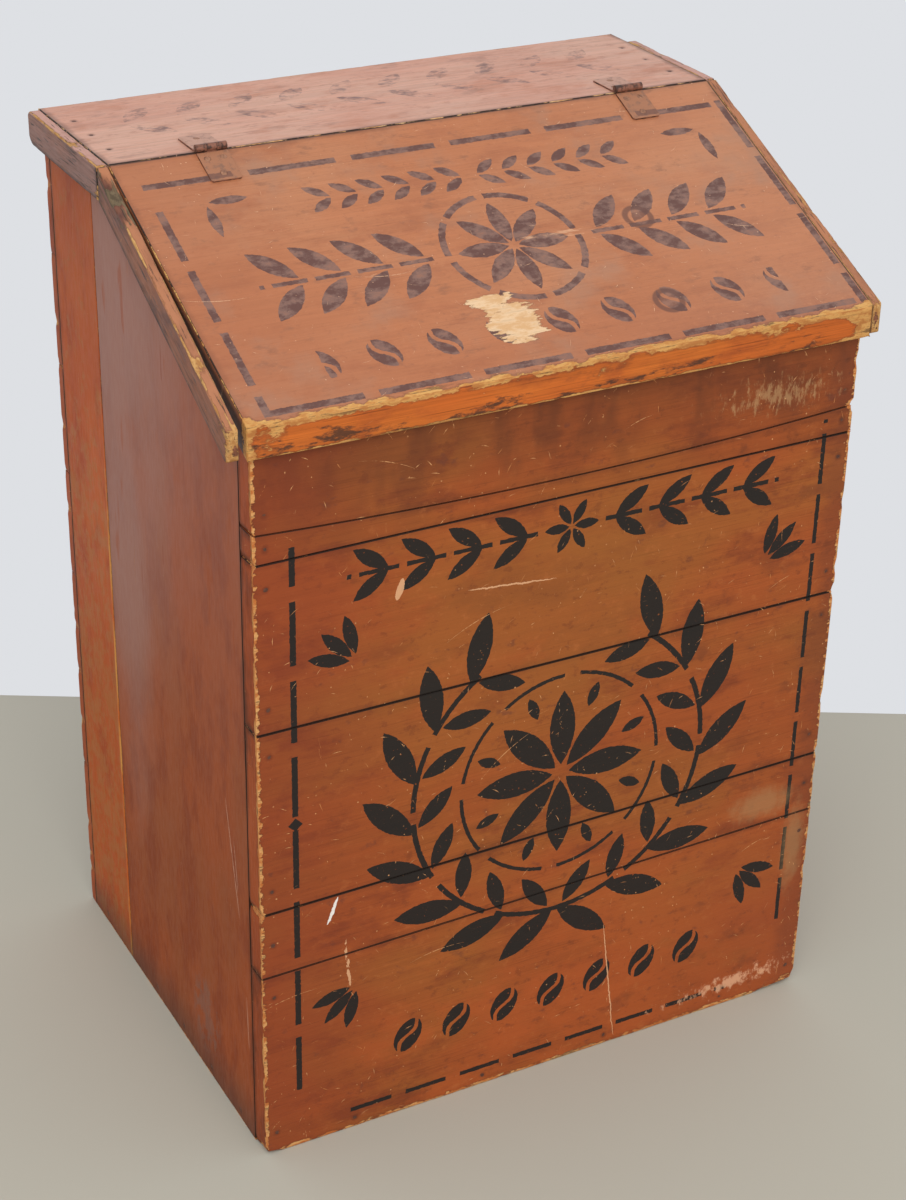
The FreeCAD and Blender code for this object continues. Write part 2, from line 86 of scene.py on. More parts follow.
FRONT_Y = corners("front_board_5")[0][1]
SIDE_FRONT_Y = corners("side_board_left_front")[0][1]
SIDE_JOINT_Y = corners("side_board_left_front")[1][1]
SIDE_BACK_Y = corners("side_board_left_back")[1][1]
BACK_Y = corners("back_board_1")[1][1]
SIDE_X = corners("back_board_1")[1][0]
INNER_X = corners("side_board_right_front")[0][0]
TOP_LOW, TOP_HIGH = corners("top_board")
LID_LOW, LID_HIGH = corners("lid_board")
LID_SLOPE = math.atan2(LID_HIGH[2] - top_of("lid_board", 0, -100), LID_HIGH[1] + 100)
LID_LENGTH = (LID_HIGH[1] - LID_LOW[1]) / math.cos(LID_SLOPE)
LID_PLUMB = top_of("lid_board", 0, 0) - met("lid_board", (0, 0, 0), (0, 0, 1)).z


def lid_top(y):
    """Height of the lid's upper face."""
    return LID_HIGH[2] - (LID_HIGH[1] - y) * math.tan(LID_SLOPE)


JUST_INSIDE = 0.4              # from a board's hidden face to where its edges are measured
JUST_UNDER = 2.0               # the same from its shown face


def edge_of(node, upper, across, xs):
    """A board's upper or lower edge as a height over x."""
    start, way = (ABOVE, (0, 0, -1)) if upper else (BELOW, (0, 0, 1))
    zs = [met(node, (x, across, start), way).z for x in xs]
    return lambda x: np.interp(x, xs, zs)


# --- Boards ---------------------------------------------------------------------------------------
SIDES = ("a0", "a1", "b0", "b1", "c0", "c1")       # low and high end of each of a board's ways
BESIDE_ARRIS = (0.0, 0.35, 0.9, 1.7, 2.8, 4.4, 7.0)
ROUND_NAIL = (-5.5, -3.5, -1.5, 1.5, 3.5, 5.5)
SEAM_REACH = 16.0              # of the dirt beside a joint
NAIL_REACH = 7.5               # of the stain round a nail
NAIL_DENT, NAIL_DENT_REACH = 0.5, 2.8
CHIP_SIZE, CHIP_GRAIN = 13.0, 4.5                  # of the bites along an arris
HOLLOW_SIZE = 55.0
BARE_BACK = {"c0": 1}                              # the hidden face has the second material
BARE_BACK_AND_ENDS = {"c0": 1, "a0": 2, "a1": 2}
PLAIN = (0.0, 0.7, 0.0)                            # wear width, radius and chipping of an arris
FULL_WEAR = 3.4                                    # an arris worn less wide than this is patchy


def lattice_lines(length, step, marks=()):
    """Places of the lattice lines over a length, closer at its ends and at marks."""
    count = max(1, round(length / step))
    found = {length * i / count for i in range(count + 1)}
    found |= {offset for offset in BESIDE_ARRIS if offset < length / 2}
    found |= {length - offset for offset in BESIDE_ARRIS if offset < length / 2}
    found |= {m for m in marks if 0 < m < length}
    kept = [0.0]
    for place in sorted(found):
        if place - kept[-1] > 0.25 and length - place > 0.25:
            kept.append(place)
    return np.array(kept + [length])


def skin(a, b, c):
    """Points and quads on the outside of a lattice block, and the side that each quad is on."""
    hollow = np.zeros((len(a), len(b), len(c)), bool)
    hollow[1:-1, 1:-1, 1:-1] = True
    number = (np.cumsum(~hollow.ravel()) - 1).reshape(hollow.shape)
    points = np.stack(np.meshgrid(a, b, c, indexing="ij"), -1)[~hollow]
    quads, sides = [], []
    for side, (axis, end) in enumerate((axis, end) for axis in range(3) for end in (0, -1)):
        sheet = np.take(number, end, axis)
        quad = np.stack([sheet[:-1, :-1], sheet[1:, :-1], sheet[1:, 1:], sheet[:-1, 1:]], -1)
        quad = quad.reshape(-1, 4)
        if (axis == 1) != (end == 0):
            quad = quad[:, ::-1]
        quads.append(quad)
        sides.append(np.full(len(quad), side))
    return points, np.concatenate(quads), np.concatenate(sides)


def wander(points, size, seed):
    """Smooth random field from about -1 to 1, with bumps of one size."""
    shift = Vector((seed * 17.3, seed * 5.1, seed * 29.7))
    return np.array([noise.noise(Vector(p) / size + shift) for p in points])


def linked(name, data):
    """New object in the scene."""
    thing = bpy.data.objects.new(name, data)
    bpy.context.scene.collection.objects.link(thing)
    return thing


def board(name, size, place, arrises, steps=(4.0, 4.0, 6.0), marks=((), (), ()),
          finishes=BARE_BACK, seams=(), nails=(), nicks=(), open_seams=1.0, hollow=0.25):
    """Mesh of an old board.

    arrises gives (wear width, radius, chipping) for pairs of sides, finishes the material number
    of sides that aren't the first, seams the pairs that lie on a joint, nails the (along, across)
    places on the shown face, and nicks the broken places as (side, place along it, half length,
    depth). open_seams is the share of a full joint line, and hollow how deep the faces sink.
    """
    seed = random.Random(name).uniform(0, 20)
    a_marks = list(marks[0]) + [nail[0] + offset for nail in nails for offset in ROUND_NAIL]
    b_marks = list(marks[1]) + [nail[1] + offset for nail in nails for offset in ROUND_NAIL]
    points, quads, sides = skin(lattice_lines(size[0], steps[0], a_marks),
                                lattice_lines(size[1], steps[1], b_marks),
                                lattice_lines(size[2], steps[2], marks[2]))
    size = np.array(size)
    away = {side: points[:, i // 2] if i % 2 == 0 else size[i // 2] - points[:, i // 2]
            for i, side in enumerate(SIDES)}
    bite = wander(points, CHIP_SIZE, seed) + 0.6 * wander(points, CHIP_GRAIN, seed + 3)
    bite = np.clip(bite - 0.2, 0, 1)
    nearest = np.full(len(points), 1e9)
    radius = np.zeros(len(points))
    worn = np.full(len(points), -1.0)
    seam = np.zeros(len(points))
    for i, first in enumerate(SIDES):
        for second in SIDES[i + 1:]:
            if first[0] == second[0]:
                continue
            pair = (first, second)
            width, round_off, chipping = arrises.get(pair, PLAIN)
            distance = np.hypot(away[first], away[second])
            closer = distance < nearest
            radius = np.where(closer, round_off + chipping * bite, radius)
            nearest = np.minimum(nearest, distance)
            if width:
                worn = np.maximum(worn, (width - distance) / max(width, FULL_WEAR))
            if pair in seams:
                seam = np.maximum(seam, 1 - distance / SEAM_REACH)
    radius = np.minimum(radius, size.min() / 2 - 0.3)[:, None]
    core = np.clip(points, radius, size - radius)
    outward = points - core
    outward /= np.linalg.norm(outward, axis=1)[:, None]
    shaped = core + outward * radius
    sunk = hollow * (0.5 + 0.5 * wander(points, HOLLOW_SIZE, seed + 7))
    stain = np.zeros(len(points))
    on_face = away["c1"] < 0.01
    for along, across in nails:
        distance = np.hypot(points[:, 0] - along, points[:, 1] - across)
        stain = np.where(on_face, np.maximum(stain, 1 - distance / NAIL_REACH), stain)
        sunk += np.where(on_face, NAIL_DENT * np.exp(-(distance / NAIL_DENT_REACH) ** 2), 0)
    shaped -= outward * sunk[:, None]
    for side, middle, half, depth in nicks:
        axis, across = "abc".index(side[0]), 1 - "abc".index(side[0])
        ragged = 0.75 + 0.5 * bite
        nearness = np.clip(1 - np.abs(points[:, across] - middle) / half, 0, 1) ** 0.6
        share = nearness * np.clip(1 - away[side] / (2.5 * depth), 0, 1) * ragged
        share *= 0.35 + 0.65 * points[:, 2] / size[2]
        shaped[:, axis] += share * depth * (1 if side[1] == "0" else -1)
        worn = np.maximum(worn, np.where(share > 0, (share * 1.3 - 0.1) * min(1, depth / 1.5), -1))
    x, y, z = place(*shaped.T)
    world = np.stack([x, y, z], -1) * MM
    corner = world[quads]
    facing = np.cross(corner[:, 1] - corner[:, 0], corner[:, 2] - corner[:, 0])
    if (corner[:, 0] * facing).sum() < 0:
        quads = quads[:, ::-1]
    mesh = bpy.data.meshes.new(name)
    mesh.from_pydata(world.tolist(), [], quads.tolist())
    mesh.polygons.foreach_set("material_index", [finishes.get(SIDES[s], 0) for s in sides])
    mesh.polygons.foreach_set("use_smooth", [True] * len(quads))
    tone = np.full(len(points), random.Random(name + " tone").uniform(0, 1))
    seam = np.clip(seam, 0, 1) * open_seams
    for label, values in (("worn", worn), ("seam", seam), ("stain", stain), ("tone", tone)):
        mesh.attributes.new(label, "FLOAT", "POINT").data.foreach_set("value", values)
    return linked(name, mesh)


def dress(piece, body, slot, materials, *nodes):
    """Give a finished piece its materials and the place of its nodes in the frame."""
    for material in materials:
        piece.data.materials.append(material)
    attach(piece, body)
    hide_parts(*nodes)


# --- Nails and screws, found in the frame ---------------------------------------------------------
def islands(node):
    """Corner points of each loose solid of a node."""
    mesh = bmesh.new()
    mesh.from_mesh(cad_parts[node].data)
    bmesh.ops.remove_doubles(mesh, verts=mesh.verts, dist=1e-5)
    waiting = set(mesh.verts)
    groups = []
    while waiting:
        open_ends, group = [waiting.pop()], []
        while open_ends:
            vertex = open_ends.pop()
            group.append(np.array(vertex.co) / MM)
            for edge in vertex.link_edges:
                other = edge.other_vert(vertex)
                if other in waiting:
                    waiting.discard(other)
                    open_ends.append(other)
        groups.append(np.array(group))
    mesh.free()
    return groups


def heads(node, facing):
    """(middle of the head, way that it faces) of each nail or screw; facing takes a middle."""
    found = []
    for points in islands(node):
        way = np.array(facing(points.mean(0)))
        height = points @ way
        found.append((points[height > height.max() - 0.3].mean(0), way))
    return found


def outwards(middle):
    """Way out of the nearer side of the bin."""
    return (math.copysign(1, middle[0]), 0, 0)


NAILS = {
    "front_nails": heads("front_nails", lambda middle: (0, -1, 0)),
    "side_nails": heads("side_nails", outwards),
    "back_nails": heads("back_nails", lambda middle: (0, 1, 0)),
    "top_nails": heads("top_nails", lambda middle: (0, 0, 1)),
    "cleat_nails": heads("cleat_nails", lambda middle: (-math.copysign(1, middle[0]), 0, 0)),
    "top_strip_nails": heads("top_strip_nails", outwards),
    "lid_strip_nails": heads("lid_strip_nails", outwards),
}
LID_NORMAL = (0.0, -math.sin(LID_SLOPE), math.cos(LID_SLOPE))
SCREWS = {
    "hinge_screws_top": heads("hinge_screws_top", lambda middle: (0, 0, 1)),
    "hinge_screws_lid": heads("hinge_screws_lid", lambda middle: LID_NORMAL),
}


# --- The case -------------------------------------------------------------------------------------
TONGUE_HALF = 3.1
TONGUE_RISE = 4.0
ON_EDGE = 0.05                                      # nearer to an edge than this is on it
FRONT_THICKNESS = SIDE_FRONT_Y - FRONT_Y
FRONT_XS = np.linspace(-SIDE_X + 1, SIDE_X - 1, 41)
FRONT_EDGES = {                                     # wear width, radius, chipping
    ("a0", "c1"): (4.6, 1.3, 2.4),
    ("a1", "c1"): (5.4, 1.8, 3.0),
    ("b0", "c1"): (0.3, 0.4, 0.4),
    ("b1", "c1"): (0.5, 0.5, 0.6),
    ("a0", "b0"): (1.0, 0.8, 1.5),
    ("a0", "b1"): (1.0, 0.8, 1.5),
    ("a1", "b0"): (2.0, 1.2, 2.0),
    ("a1", "b1"): (2.0, 1.2, 2.0),
    ("a0", "c0"): (1.2, 0.6, 0.5),
    ("a1", "c0"): (1.2, 0.6, 0.5),
}
FRONT_BOTTOM_EDGE = (5.6, 1.6, 1.8)
HAIRLINE = 0.962                                    # share of a full seam where boards meet tightly
TIGHT_BOARDS = ("front_board_1", "front_split_strip", "front_board_5")
FRONT_SEAMS = (("b0", "c1"), ("b1", "c1"), ("a0", "c0"), ("a1", "c0"), ("a0", "b0"), ("a0", "b1"),
               ("a1", "b0"), ("a1", "b1"))


def tongue_marks(thickness, half):
    """Lattice lines through a board's thickness, beside both faces of its tongue."""
    middle = thickness / 2
    return (middle - half - 0.3, middle - half, middle + half, middle + half + 0.3)


def in_tongue(c, thickness, half):
    """Which places through the thickness lie in the tongue."""
    return np.abs(c - thickness / 2) < half + 0.1


def front_board(node, below, above, nicks):
    """Level front board; below and above say whether its edges have the groove and the tongue."""
    hidden_y, shown_y = SIDE_FRONT_Y - JUST_INSIDE, FRONT_Y + JUST_UNDER
    lower = edge_of(node, False, hidden_y, FRONT_XS)
    upper = edge_of(node, True, hidden_y, FRONT_XS)
    top_fall = 0.0                                  # of the sloping edge under the lid
    if not above:
        fall = top_of(node, 0, hidden_y) - top_of(node, 0, shown_y)
        top_fall = fall / (hidden_y - shown_y)
    width = float(np.mean(upper(FRONT_XS) - lower(FRONT_XS)))

    def place(a, b, c):
        x = a - SIDE_X
        low, high = lower(x), upper(x) - top_fall * c
        z = low + (high - low) * b / width
        inside = in_tongue(c, FRONT_THICKNESS, TONGUE_HALF)
        if below:
            z = np.where(inside & (b < ON_EDGE), z + TONGUE_RISE, z)
        if above:
            z = np.where(inside & (b > width - ON_EDGE), z + TONGUE_RISE, z)
        return x, SIDE_FRONT_Y - c, z

    nails = []
    for (x, _, z), _ in NAILS["front_nails"]:
        low, high = float(lower(x)), float(upper(x))
        if low < z < high:
            nails.append((x + SIDE_X, (z - low) / (high - low) * width))
    edges = dict(FRONT_EDGES)
    if lower(-SIDE_X) < 1:                          # the board that stands on the floor
        edges["b0", "c1"] = FRONT_BOTTOM_EDGE
    return board("painted_" + node, (2 * SIDE_X, width, FRONT_THICKNESS), place, edges,
                 marks=((), (), tongue_marks(FRONT_THICKNESS, TONGUE_HALF)), nails=nails,
                 finishes=BARE_BACK_AND_ENDS, seams=FRONT_SEAMS, nicks=nicks(width),
                 open_seams=HAIRLINE if node in TIGHT_BOARDS else 1.0)


FRONT_NICKS = {
    "front_board_1": lambda width: [("a1", 0.0, 7.0, 5.0), ("a1", width * 0.62, 9.0, 2.5),
                                    ("a0", 0.0, 4.0, 2.0)],
    "front_split_strip": lambda width: [("a1", width, 6.0, 3.5), ("a0", 0.0, 4.0, 2.5)],
    "front_board_2": lambda width: [("a1", 0.0, 8.0, 4.0), ("a1", 24.0, 7.0, 2.0),
                                    ("a0", width, 5.0, 2.5), ("a1", 88.0, 6.0, 1.6)],
    "front_board_3": lambda width: [("a1", width, 5.0, 2.6), ("a1", 0.0, 7.0, 2.8),
                                    ("a1", 60.0, 8.0, 1.8), ("a0", 0.0, 6.0, 3.0)],
    "front_board_4": lambda width: [("a1", width, 4.0, 2.0), ("a0", width, 5.0, 3.0)],
    "front_board_5": lambda width: [("a1", 0.0, 13.0, 5.0), ("a1", 130.0, 8.0, 1.8),
                                    ("a0", 0.0, 9.0, 3.0), ("b0", 2 * SIDE_X, 48.0, 6.0),
                                    ("b0", 0.0, 15.0, 4.5)],
}


SIDE_THICKNESS = SIDE_X - INNER_X
SIDE_EDGES = {
    ("b0", "c1"): (0.5, 0.7, 0.6),
    ("b1", "c1"): (0.9, 0.9, 0.8),
    ("a0", "c1"): (3.2, 1.2, 1.4),
}
REAR_SIDE_EDGES = {**SIDE_EDGES, ("b0", "c1"): (1.4, 1.0, 0.8)}
SIDE_SEAMS = (("b0", "c1"), ("b1", "c1"), ("a0", "c1"))
SIDE_JOINT_GAP = 0.4


def side_board(node, sign, tongue_end):
    """Upright side board; its tongue or groove is on the low or high end across it."""
    low, high = corners(node)
    start, stop = low[1], high[1]
    if tongue_end == "b0":
        start = SIDE_JOINT_Y + SIDE_JOINT_GAP
    ys = np.linspace(start + 0.5, stop - 0.5, 61)
    x_ray = sign * (SIDE_X - 2)
    tops = [top_of(node, x_ray, y) for y in ys]
    tallest, width = max(tops), stop - start

    def place(a, b, c):
        y = start + b
        z = a / tallest * np.interp(y, ys, tops)
        at_joint = b > width - ON_EDGE if tongue_end == "b1" else b < ON_EDGE
        at_joint = at_joint & in_tongue(c, SIDE_THICKNESS, TONGUE_HALF)
        return sign * (INNER_X + c), np.where(at_joint, y - TONGUE_RISE, y), z

    nails = [(z, y - start) for (x, y, z), _ in NAILS["side_nails"]
             if x * sign > 0 and start < y < stop]
    edges, seams = ((SIDE_EDGES, SIDE_SEAMS) if tongue_end == "b1"
                    else (REAR_SIDE_EDGES, SIDE_SEAMS[1:]))
    return board("painted_" + node, (tallest, width, SIDE_THICKNESS), place, edges,
                 marks=((), (), tongue_marks(SIDE_THICKNESS, TONGUE_HALF)),
                 seams=seams, nails=nails)


BACK_THICKNESS = BACK_Y - SIDE_BACK_Y
BACK_EDGES = {
    ("a0", "c1"): (2.5, 1.2, 1.6),
    ("a1", "c1"): (2.5, 1.2, 1.6),
    ("b0", "c1"): (0.4, 0.8, 0.8),
    ("b1", "c1"): (0.6, 0.8, 0.8),
    ("a0", "b0"): (0.6, 0.7, 0.7),
    ("a0", "b1"): (0.6, 0.7, 0.7),
}
BACK_SEAMS = (("b0", "c1"), ("b1", "c1"), ("a0", "c0"), ("a1", "c0"))
BACK_TONGUE_HALF = 2.1


def back_board(node, first, last):
    """Level back board, with bites out of its ends where the joints are."""
    low_z = corners(node)[0][2]
    high_z = top_of(node, 0, SIDE_BACK_Y + JUST_INSIDE)
    width = high_z - low_z

    def place(a, b, c):
        joint = (b < ON_EDGE) & (not last) | (b > width - ON_EDGE) & (not first)
        joint = joint & in_tongue(c, BACK_THICKNESS, BACK_TONGUE_HALF)
        return a - SIDE_X, SIDE_BACK_Y + c, low_z + b + np.where(joint, TONGUE_RISE, 0)

    bites = random.Random(node)
    nicks = [(end, across, bites.uniform(5, 9), bites.choice((0.6, 1.0, 2.8)))
             for end in ("a0", "a1") for across in (0.0, width)]
    nicks += [(end, bites.uniform(0.3, 0.7) * width, 6.0, 1.6) for end in ("a0", "a1")]
    nails = [(x + SIDE_X, z - low_z) for (x, _, z), _ in NAILS["back_nails"]
             if low_z < z < high_z]
    return board("painted_" + node, (2 * SIDE_X, width, BACK_THICKNESS), place, BACK_EDGES,
                 steps=(5.0, 5.0, 6.0), finishes=BARE_BACK_AND_ENDS, seams=BACK_SEAMS,
                 nails=nails, nicks=nicks,
                 marks=((), (), tongue_marks(BACK_THICKNESS, BACK_TONGUE_HALF)))


# --- Top board, lid and end strips ----------------------------------------------------------------
TOP_EDGES = {
    ("b0", "c1"): (1.6, 1.0, 0.8),
    ("b1", "c1"): (3.5, 2.0, 2.0),
    ("b1", "c0"): (2.0, 1.4, 1.0),
    ("a0", "c1"): (1.2, 0.8, 0.6),
    ("a1", "c1"): (1.2, 0.8, 0.6),
}


def top_board():
    """The narrow fixed board behind the lid."""
    size = TOP_HIGH - TOP_LOW
    nails = [(x - TOP_LOW[0], y - TOP_LOW[1]) for (x, y, _), _ in NAILS["top_nails"]]

    def place(a, b, c):
        return TOP_LOW[0] + a, TOP_LOW[1] + b, TOP_LOW[2] + c

    return board("painted_top_board", size, place, TOP_EDGES, nails=nails,
                 seams=(("a0", "c1"), ("a1", "c1"), ("b0", "c1")))


LID_EDGES = {
    ("b0", "c1"): (7.0, 3.0, 1.8),
    ("b0", "c0"): (4.0, 2.2, 1.8),
    ("a0", "b0"): (15.0, 2.4, 2.4),
    ("a1", "b0"): (14.0, 2.8, 2.4),
    ("a0", "c1"): (1.9, 1.2, 1.2),
    ("a1", "c1"): (1.0, 0.8, 0.6),
    ("b1", "c1"): (1.5, 1.0, 1.0),
}


LID_NICKS = [("b0", 16.0, 20.0, 2.0), ("b0", 480.0, 30.0, 0.8), ("b0", 300.0, 40.0, 0.6)]


def lid_board():
    """The lid, drawn up the slope from its front edge, with plumb ends."""
    width = LID_HIGH[0] - LID_LOW[0]

    def place(a, b, c):
        y = LID_LOW[1] + b * math.cos(LID_SLOPE)
        return LID_LOW[0] + a, y, lid_top(y) - LID_PLUMB + c

    return board("painted_lid_board", (width, LID_LENGTH, LID_PLUMB), place, LID_EDGES,
                 steps=(3.5, 3.5, 4.0), finishes={"c0": 1, "b0": 2},
                 seams=(("a1", "c1"), ("b1", "c1"), ("a0", "c1")), nicks=LID_NICKS)


STRIP_EDGES = {
    ("b1", "c1"): (2.6, 1.6, 2.2),
    ("b1", "c0"): (1.9, 1.2, 1.8),
    ("b0", "c1"): (1.2, 1.0, 1.2),
    ("a0", "c1"): (7.0, 1.6, 1.6),
    ("a0", "c0"): (7.0, 1.6, 1.4),
    ("a0", "b1"): (12.0, 2.4, 1.6),
    ("a0", "b0"): (6.0, 1.4, 1.0),
    ("a1", "c1"): (1.6, 1.2, 1.5),
    ("a1", "b1"): (1.8, 1.2, 1.5),
}
STRIP_STEPS = (3.0, 4.0, 4.0)
PROBE_INSET = 15.0             # from a strip's ends to where its place is measured
INTO_STRIP = 3.0               # from the lid's end to where a strip's height is measured
FROM_END = 1.0                 # the same from the strip's own back end
NOSE_RADIUS, NOSE_CORNER = 8.0, 4.0
HEEL_RADIUS, CROWN_RADIUS = 11.0, 7.0


def rounding(distance, radius):
    """How far a face draws in where it is rounded off towards an end."""
    return radius - np.sqrt(radius ** 2 - np.clip(radius - distance, 0, radius) ** 2)


def lid_strip(node, sign, nicks):
    """Strip over an end of the lid, drawn from its front end."""
    low, high = corners(node)
    probe = (sign * (LID_HIGH[0] + INTO_STRIP), high[1] - FROM_END, 0)
    height = lid_top(high[1]) - met(node, probe, (0, 0, 1)).z - FROM_END * math.tan(LID_SLOPE)
    near, far = low[1] + PROBE_INSET, high[1] - PROBE_INSET
    inner = [abs(met(node, (0, y, lid_top(y) - height / 2), (sign, 0, 0)).x) for y in (near, far)]
    outer = abs(met(node, (sign * 400, far, lid_top(far) - height / 2), (-sign, 0, 0)).x)
    thickness = outer - inner[1]
    spread = (inner[0] - inner[1]) / (near - far)

    def place(a, b, c):
        y = low[1] + a * math.cos(LID_SLOPE)
        lift = rounding(a, NOSE_RADIUS)
        z = lid_top(y) - height + lift + (height - lift) * b / height
        outward = c * (1 - rounding(a, NOSE_CORNER) / thickness)
        return sign * (inner[1] + (y - far) * spread + outward), y, z

    return board("painted_" + node, (LID_LENGTH, height, thickness), place, STRIP_EDGES,
                 steps=STRIP_STEPS, marks=((1.0, 3.0, 5.5, 8.0), (), ()), nicks=nicks,
                 seams=(("b0", "c1"), ("a1", "c1")))


def top_strip(node, sign, nicks):
    """Strip over an end of the top board, drawn from its front end."""
    low, high = corners(node)
    size = np.array((high[1] - low[1], high[2] - low[2], high[0] - low[0]))

    def place(a, b, c):
        lift = rounding(size[0] - a, HEEL_RADIUS)
        fall = rounding(size[0] - a, CROWN_RADIUS)
        z = low[2] + lift + (size[1] - lift - fall) * b / size[1]
        return sign * (min(abs(low[0]), abs(high[0])) + c), low[1] + a, z

    edges = dict(STRIP_EDGES)
    for pair, width in ((("a0", "c1"), 2.0), (("a0", "c0"), 2.0), (("a0", "b1"), 3.0)):
        edges[pair] = (width,) + edges[pair][1:]
    return board("painted_" + node, size, place, edges, steps=STRIP_STEPS,
                 marks=(size[0] - np.array((1.0, 3.0, 6.0, 9.0)), (), ()), nicks=nicks,
                 seams=(("b0", "c1"), ("a0", "c1")))


# --- Shader trees ---------------------------------------------------------------------------------
ORIGIN = (0.0, 0.0, 0.0)


class Field:
    """A number that changes over a surface; sums and products of fields become Math nodes."""

    def __init__(self, tree, socket):
        self.tree = tree
        self.socket = socket

    def math(self, operation, *others):
        node = self.tree.nodes.new("ShaderNodeMath")
        node.operation = operation
        for entry, value in zip(node.inputs, (self,) + others):
            feed(self.tree, entry, value)
        return Field(self.tree, node.outputs[0])

    def __add__(self, other):
        return self.math("ADD", other)

    def __sub__(self, other):
        return self.math("SUBTRACT", other)

    def __rsub__(self, number):
        return self * -1.0 + number

    def __mul__(self, other):
        return self.math("MULTIPLY", other)

    def __truediv__(self, other):
        return self.math("DIVIDE", other)

    def __abs__(self):
        return self.math("ABSOLUTE")

    def under(self, other):
        return self.math("LESS_THAN", other)

    def over(self, other):
        return self.math("GREATER_THAN", other)

    def rise(self, low, high, to_low=0.0, to_high=1.0):
        """Smooth step between two values of the field."""
        node = self.tree.nodes.new("ShaderNodeMapRange")
        node.interpolation_type = "SMOOTHSTEP"
        for entry, value in zip(node.inputs, (self, low, high, to_low, to_high)):
            feed(self.tree, entry, value)
        return Field(self.tree, node.outputs[0])


def feed(tree, entry, value):
    """Give a socket a field, another socket or a plain value."""
    if isinstance(value, Field):
        value = value.socket
    if isinstance(value, bpy.types.NodeSocket):
        tree.links.new(value, entry)
    else:
        entry.default_value = value


def largest(first, *others):
    """Highest of several fields at each place."""
    for other in others:
        first = first.math("MAXIMUM", other)
    return first


def turned(x, y, angle):
    """The two places after a turn; the angle is a field or a number of radians."""
    if isinstance(angle, Field):
        cos, sin = angle.math("COSINE"), angle.math("SINE")
    else:
        cos, sin = math.cos(angle), math.sin(angle)
    return x * cos + y * sin, y * cos - x * sin


def reach(x, y):
    """Length of a pair of fields."""
    return (x * x + y * y).math("SQRT")


def combine(tree, x, y, z=0.0):
    """Three numbers or fields as one vector."""
    node = tree.nodes.new("ShaderNodeCombineXYZ")
    for entry, value in zip(node.inputs, (x, y, z)):
        feed(tree, entry, value)
    return node.outputs[0]


def split(tree, vector):
    """The three fields of a vector."""
    node = tree.nodes.new("ShaderNodeSeparateXYZ")
    feed(tree, node.inputs[0], vector)
    return [Field(tree, output) for output in node.outputs]


def cloud(tree, vector, size, detail=2.0, stretch=(1, 1, 1), roughness=0.5):
    """Noise from 0 to 1 with bumps of one size, drawn out by three factors."""
    scale = tree.nodes.new("ShaderNodeVectorMath")
    scale.operation = "MULTIPLY"
    feed(tree, scale.inputs[0], vector)
    scale.inputs[1].default_value = [1 / (size * factor) for factor in stretch]
    node = tree.nodes.new("ShaderNodeTexNoise")
    node.inputs["Scale"].default_value = 1.0
    node.inputs["Detail"].default_value = detail
    node.inputs["Roughness"].default_value = roughness
    tree.links.new(scale.outputs[0], node.inputs["Vector"])
    return Field(tree, node.outputs["Fac"])


def shifted(tree, vector, amount):
    """Places moved by three lengths."""
    node = tree.nodes.new("ShaderNodeVectorMath")
    feed(tree, node.inputs[0], vector)
    node.inputs[1].default_value = amount
    return node.outputs[0]


def mixed(tree, share, under, over, blend="MIX"):
    """Colour over colour by a mask."""
    node = tree.nodes.new("ShaderNodeMix")
    node.data_type = "RGBA"
    node.blend_type = blend
    feed(tree, node.inputs["Factor"], share)
    for entry, value in ((node.inputs[6], under), (node.inputs[7], over)):
        feed(tree, entry, value + (1.0,) if isinstance(value, tuple) else value)
    return node.outputs[2]


def attribute(tree, label):
    """Values that a mesh holds at its points."""
    node = tree.nodes.new("ShaderNodeAttribute")
    node.attribute_name = label
    return Field(tree, node.outputs["Fac"])


GROUPS = {}


def new_group(name, inputs, outputs=("Mask",)):
    """Empty node group with number or vector inputs; gives its tree and its inputs in order."""
    tree = bpy.data.node_groups.new(name, "ShaderNodeTree")
    for label, value in inputs.items():
        kind = "NodeSocketVector" if isinstance(value, tuple) else "NodeSocketFloat"
        tree.interface.new_socket(label, in_out="INPUT", socket_type=kind).default_value = value
    for label in outputs:
        tree.interface.new_socket(label, in_out="OUTPUT", socket_type="NodeSocketFloat")
    entry = tree.nodes.new("NodeGroupInput")
    GROUPS[name] = tree
    return tree, [Field(tree, entry.outputs[label]) for label in inputs]


def close_group(tree, **results):
    """Feed the outputs of a node group."""
    leaving = tree.nodes.new("NodeGroupOutput")
    for label, value in results.items():
        feed(tree, leaving.inputs[label], value)


def placed(tree, name, output="Mask", **values):
    """Put a node group in a tree and give back one of its outputs as a field."""
    node = tree.nodes.new("ShaderNodeGroup")
    node.node_tree = GROUPS[name]
    for label, value in values.items():
        feed(tree, node.inputs[label.capitalize()], value)
    return Field(tree, node.outputs[output])


# --- Effects that several finishes share ----------------------------------------------------------
def make_grain():
    """Pine grain: thin streaks and wide bands along the first of three places."""
    tree, (place,) = new_group("pine grain", {"Place": ORIGIN}, ("Streaks", "Bands"))
    fine = cloud(tree, place, 1.5, 3.0, (60, 1, 1), 0.6)
    coarse = cloud(tree, place, 6.0, 2.0, (30, 1, 1))
    wave = cloud(tree, place, 70.0, 1.0, (7, 1, 1))
    _, across, _ = split(tree, place)
    rings = ((across + wave * 150) / 8.5).math("SINE") * 0.5 + 0.5
    close_group(tree, Streaks=fine * 0.6 + coarse * 0.4, Bands=rings)


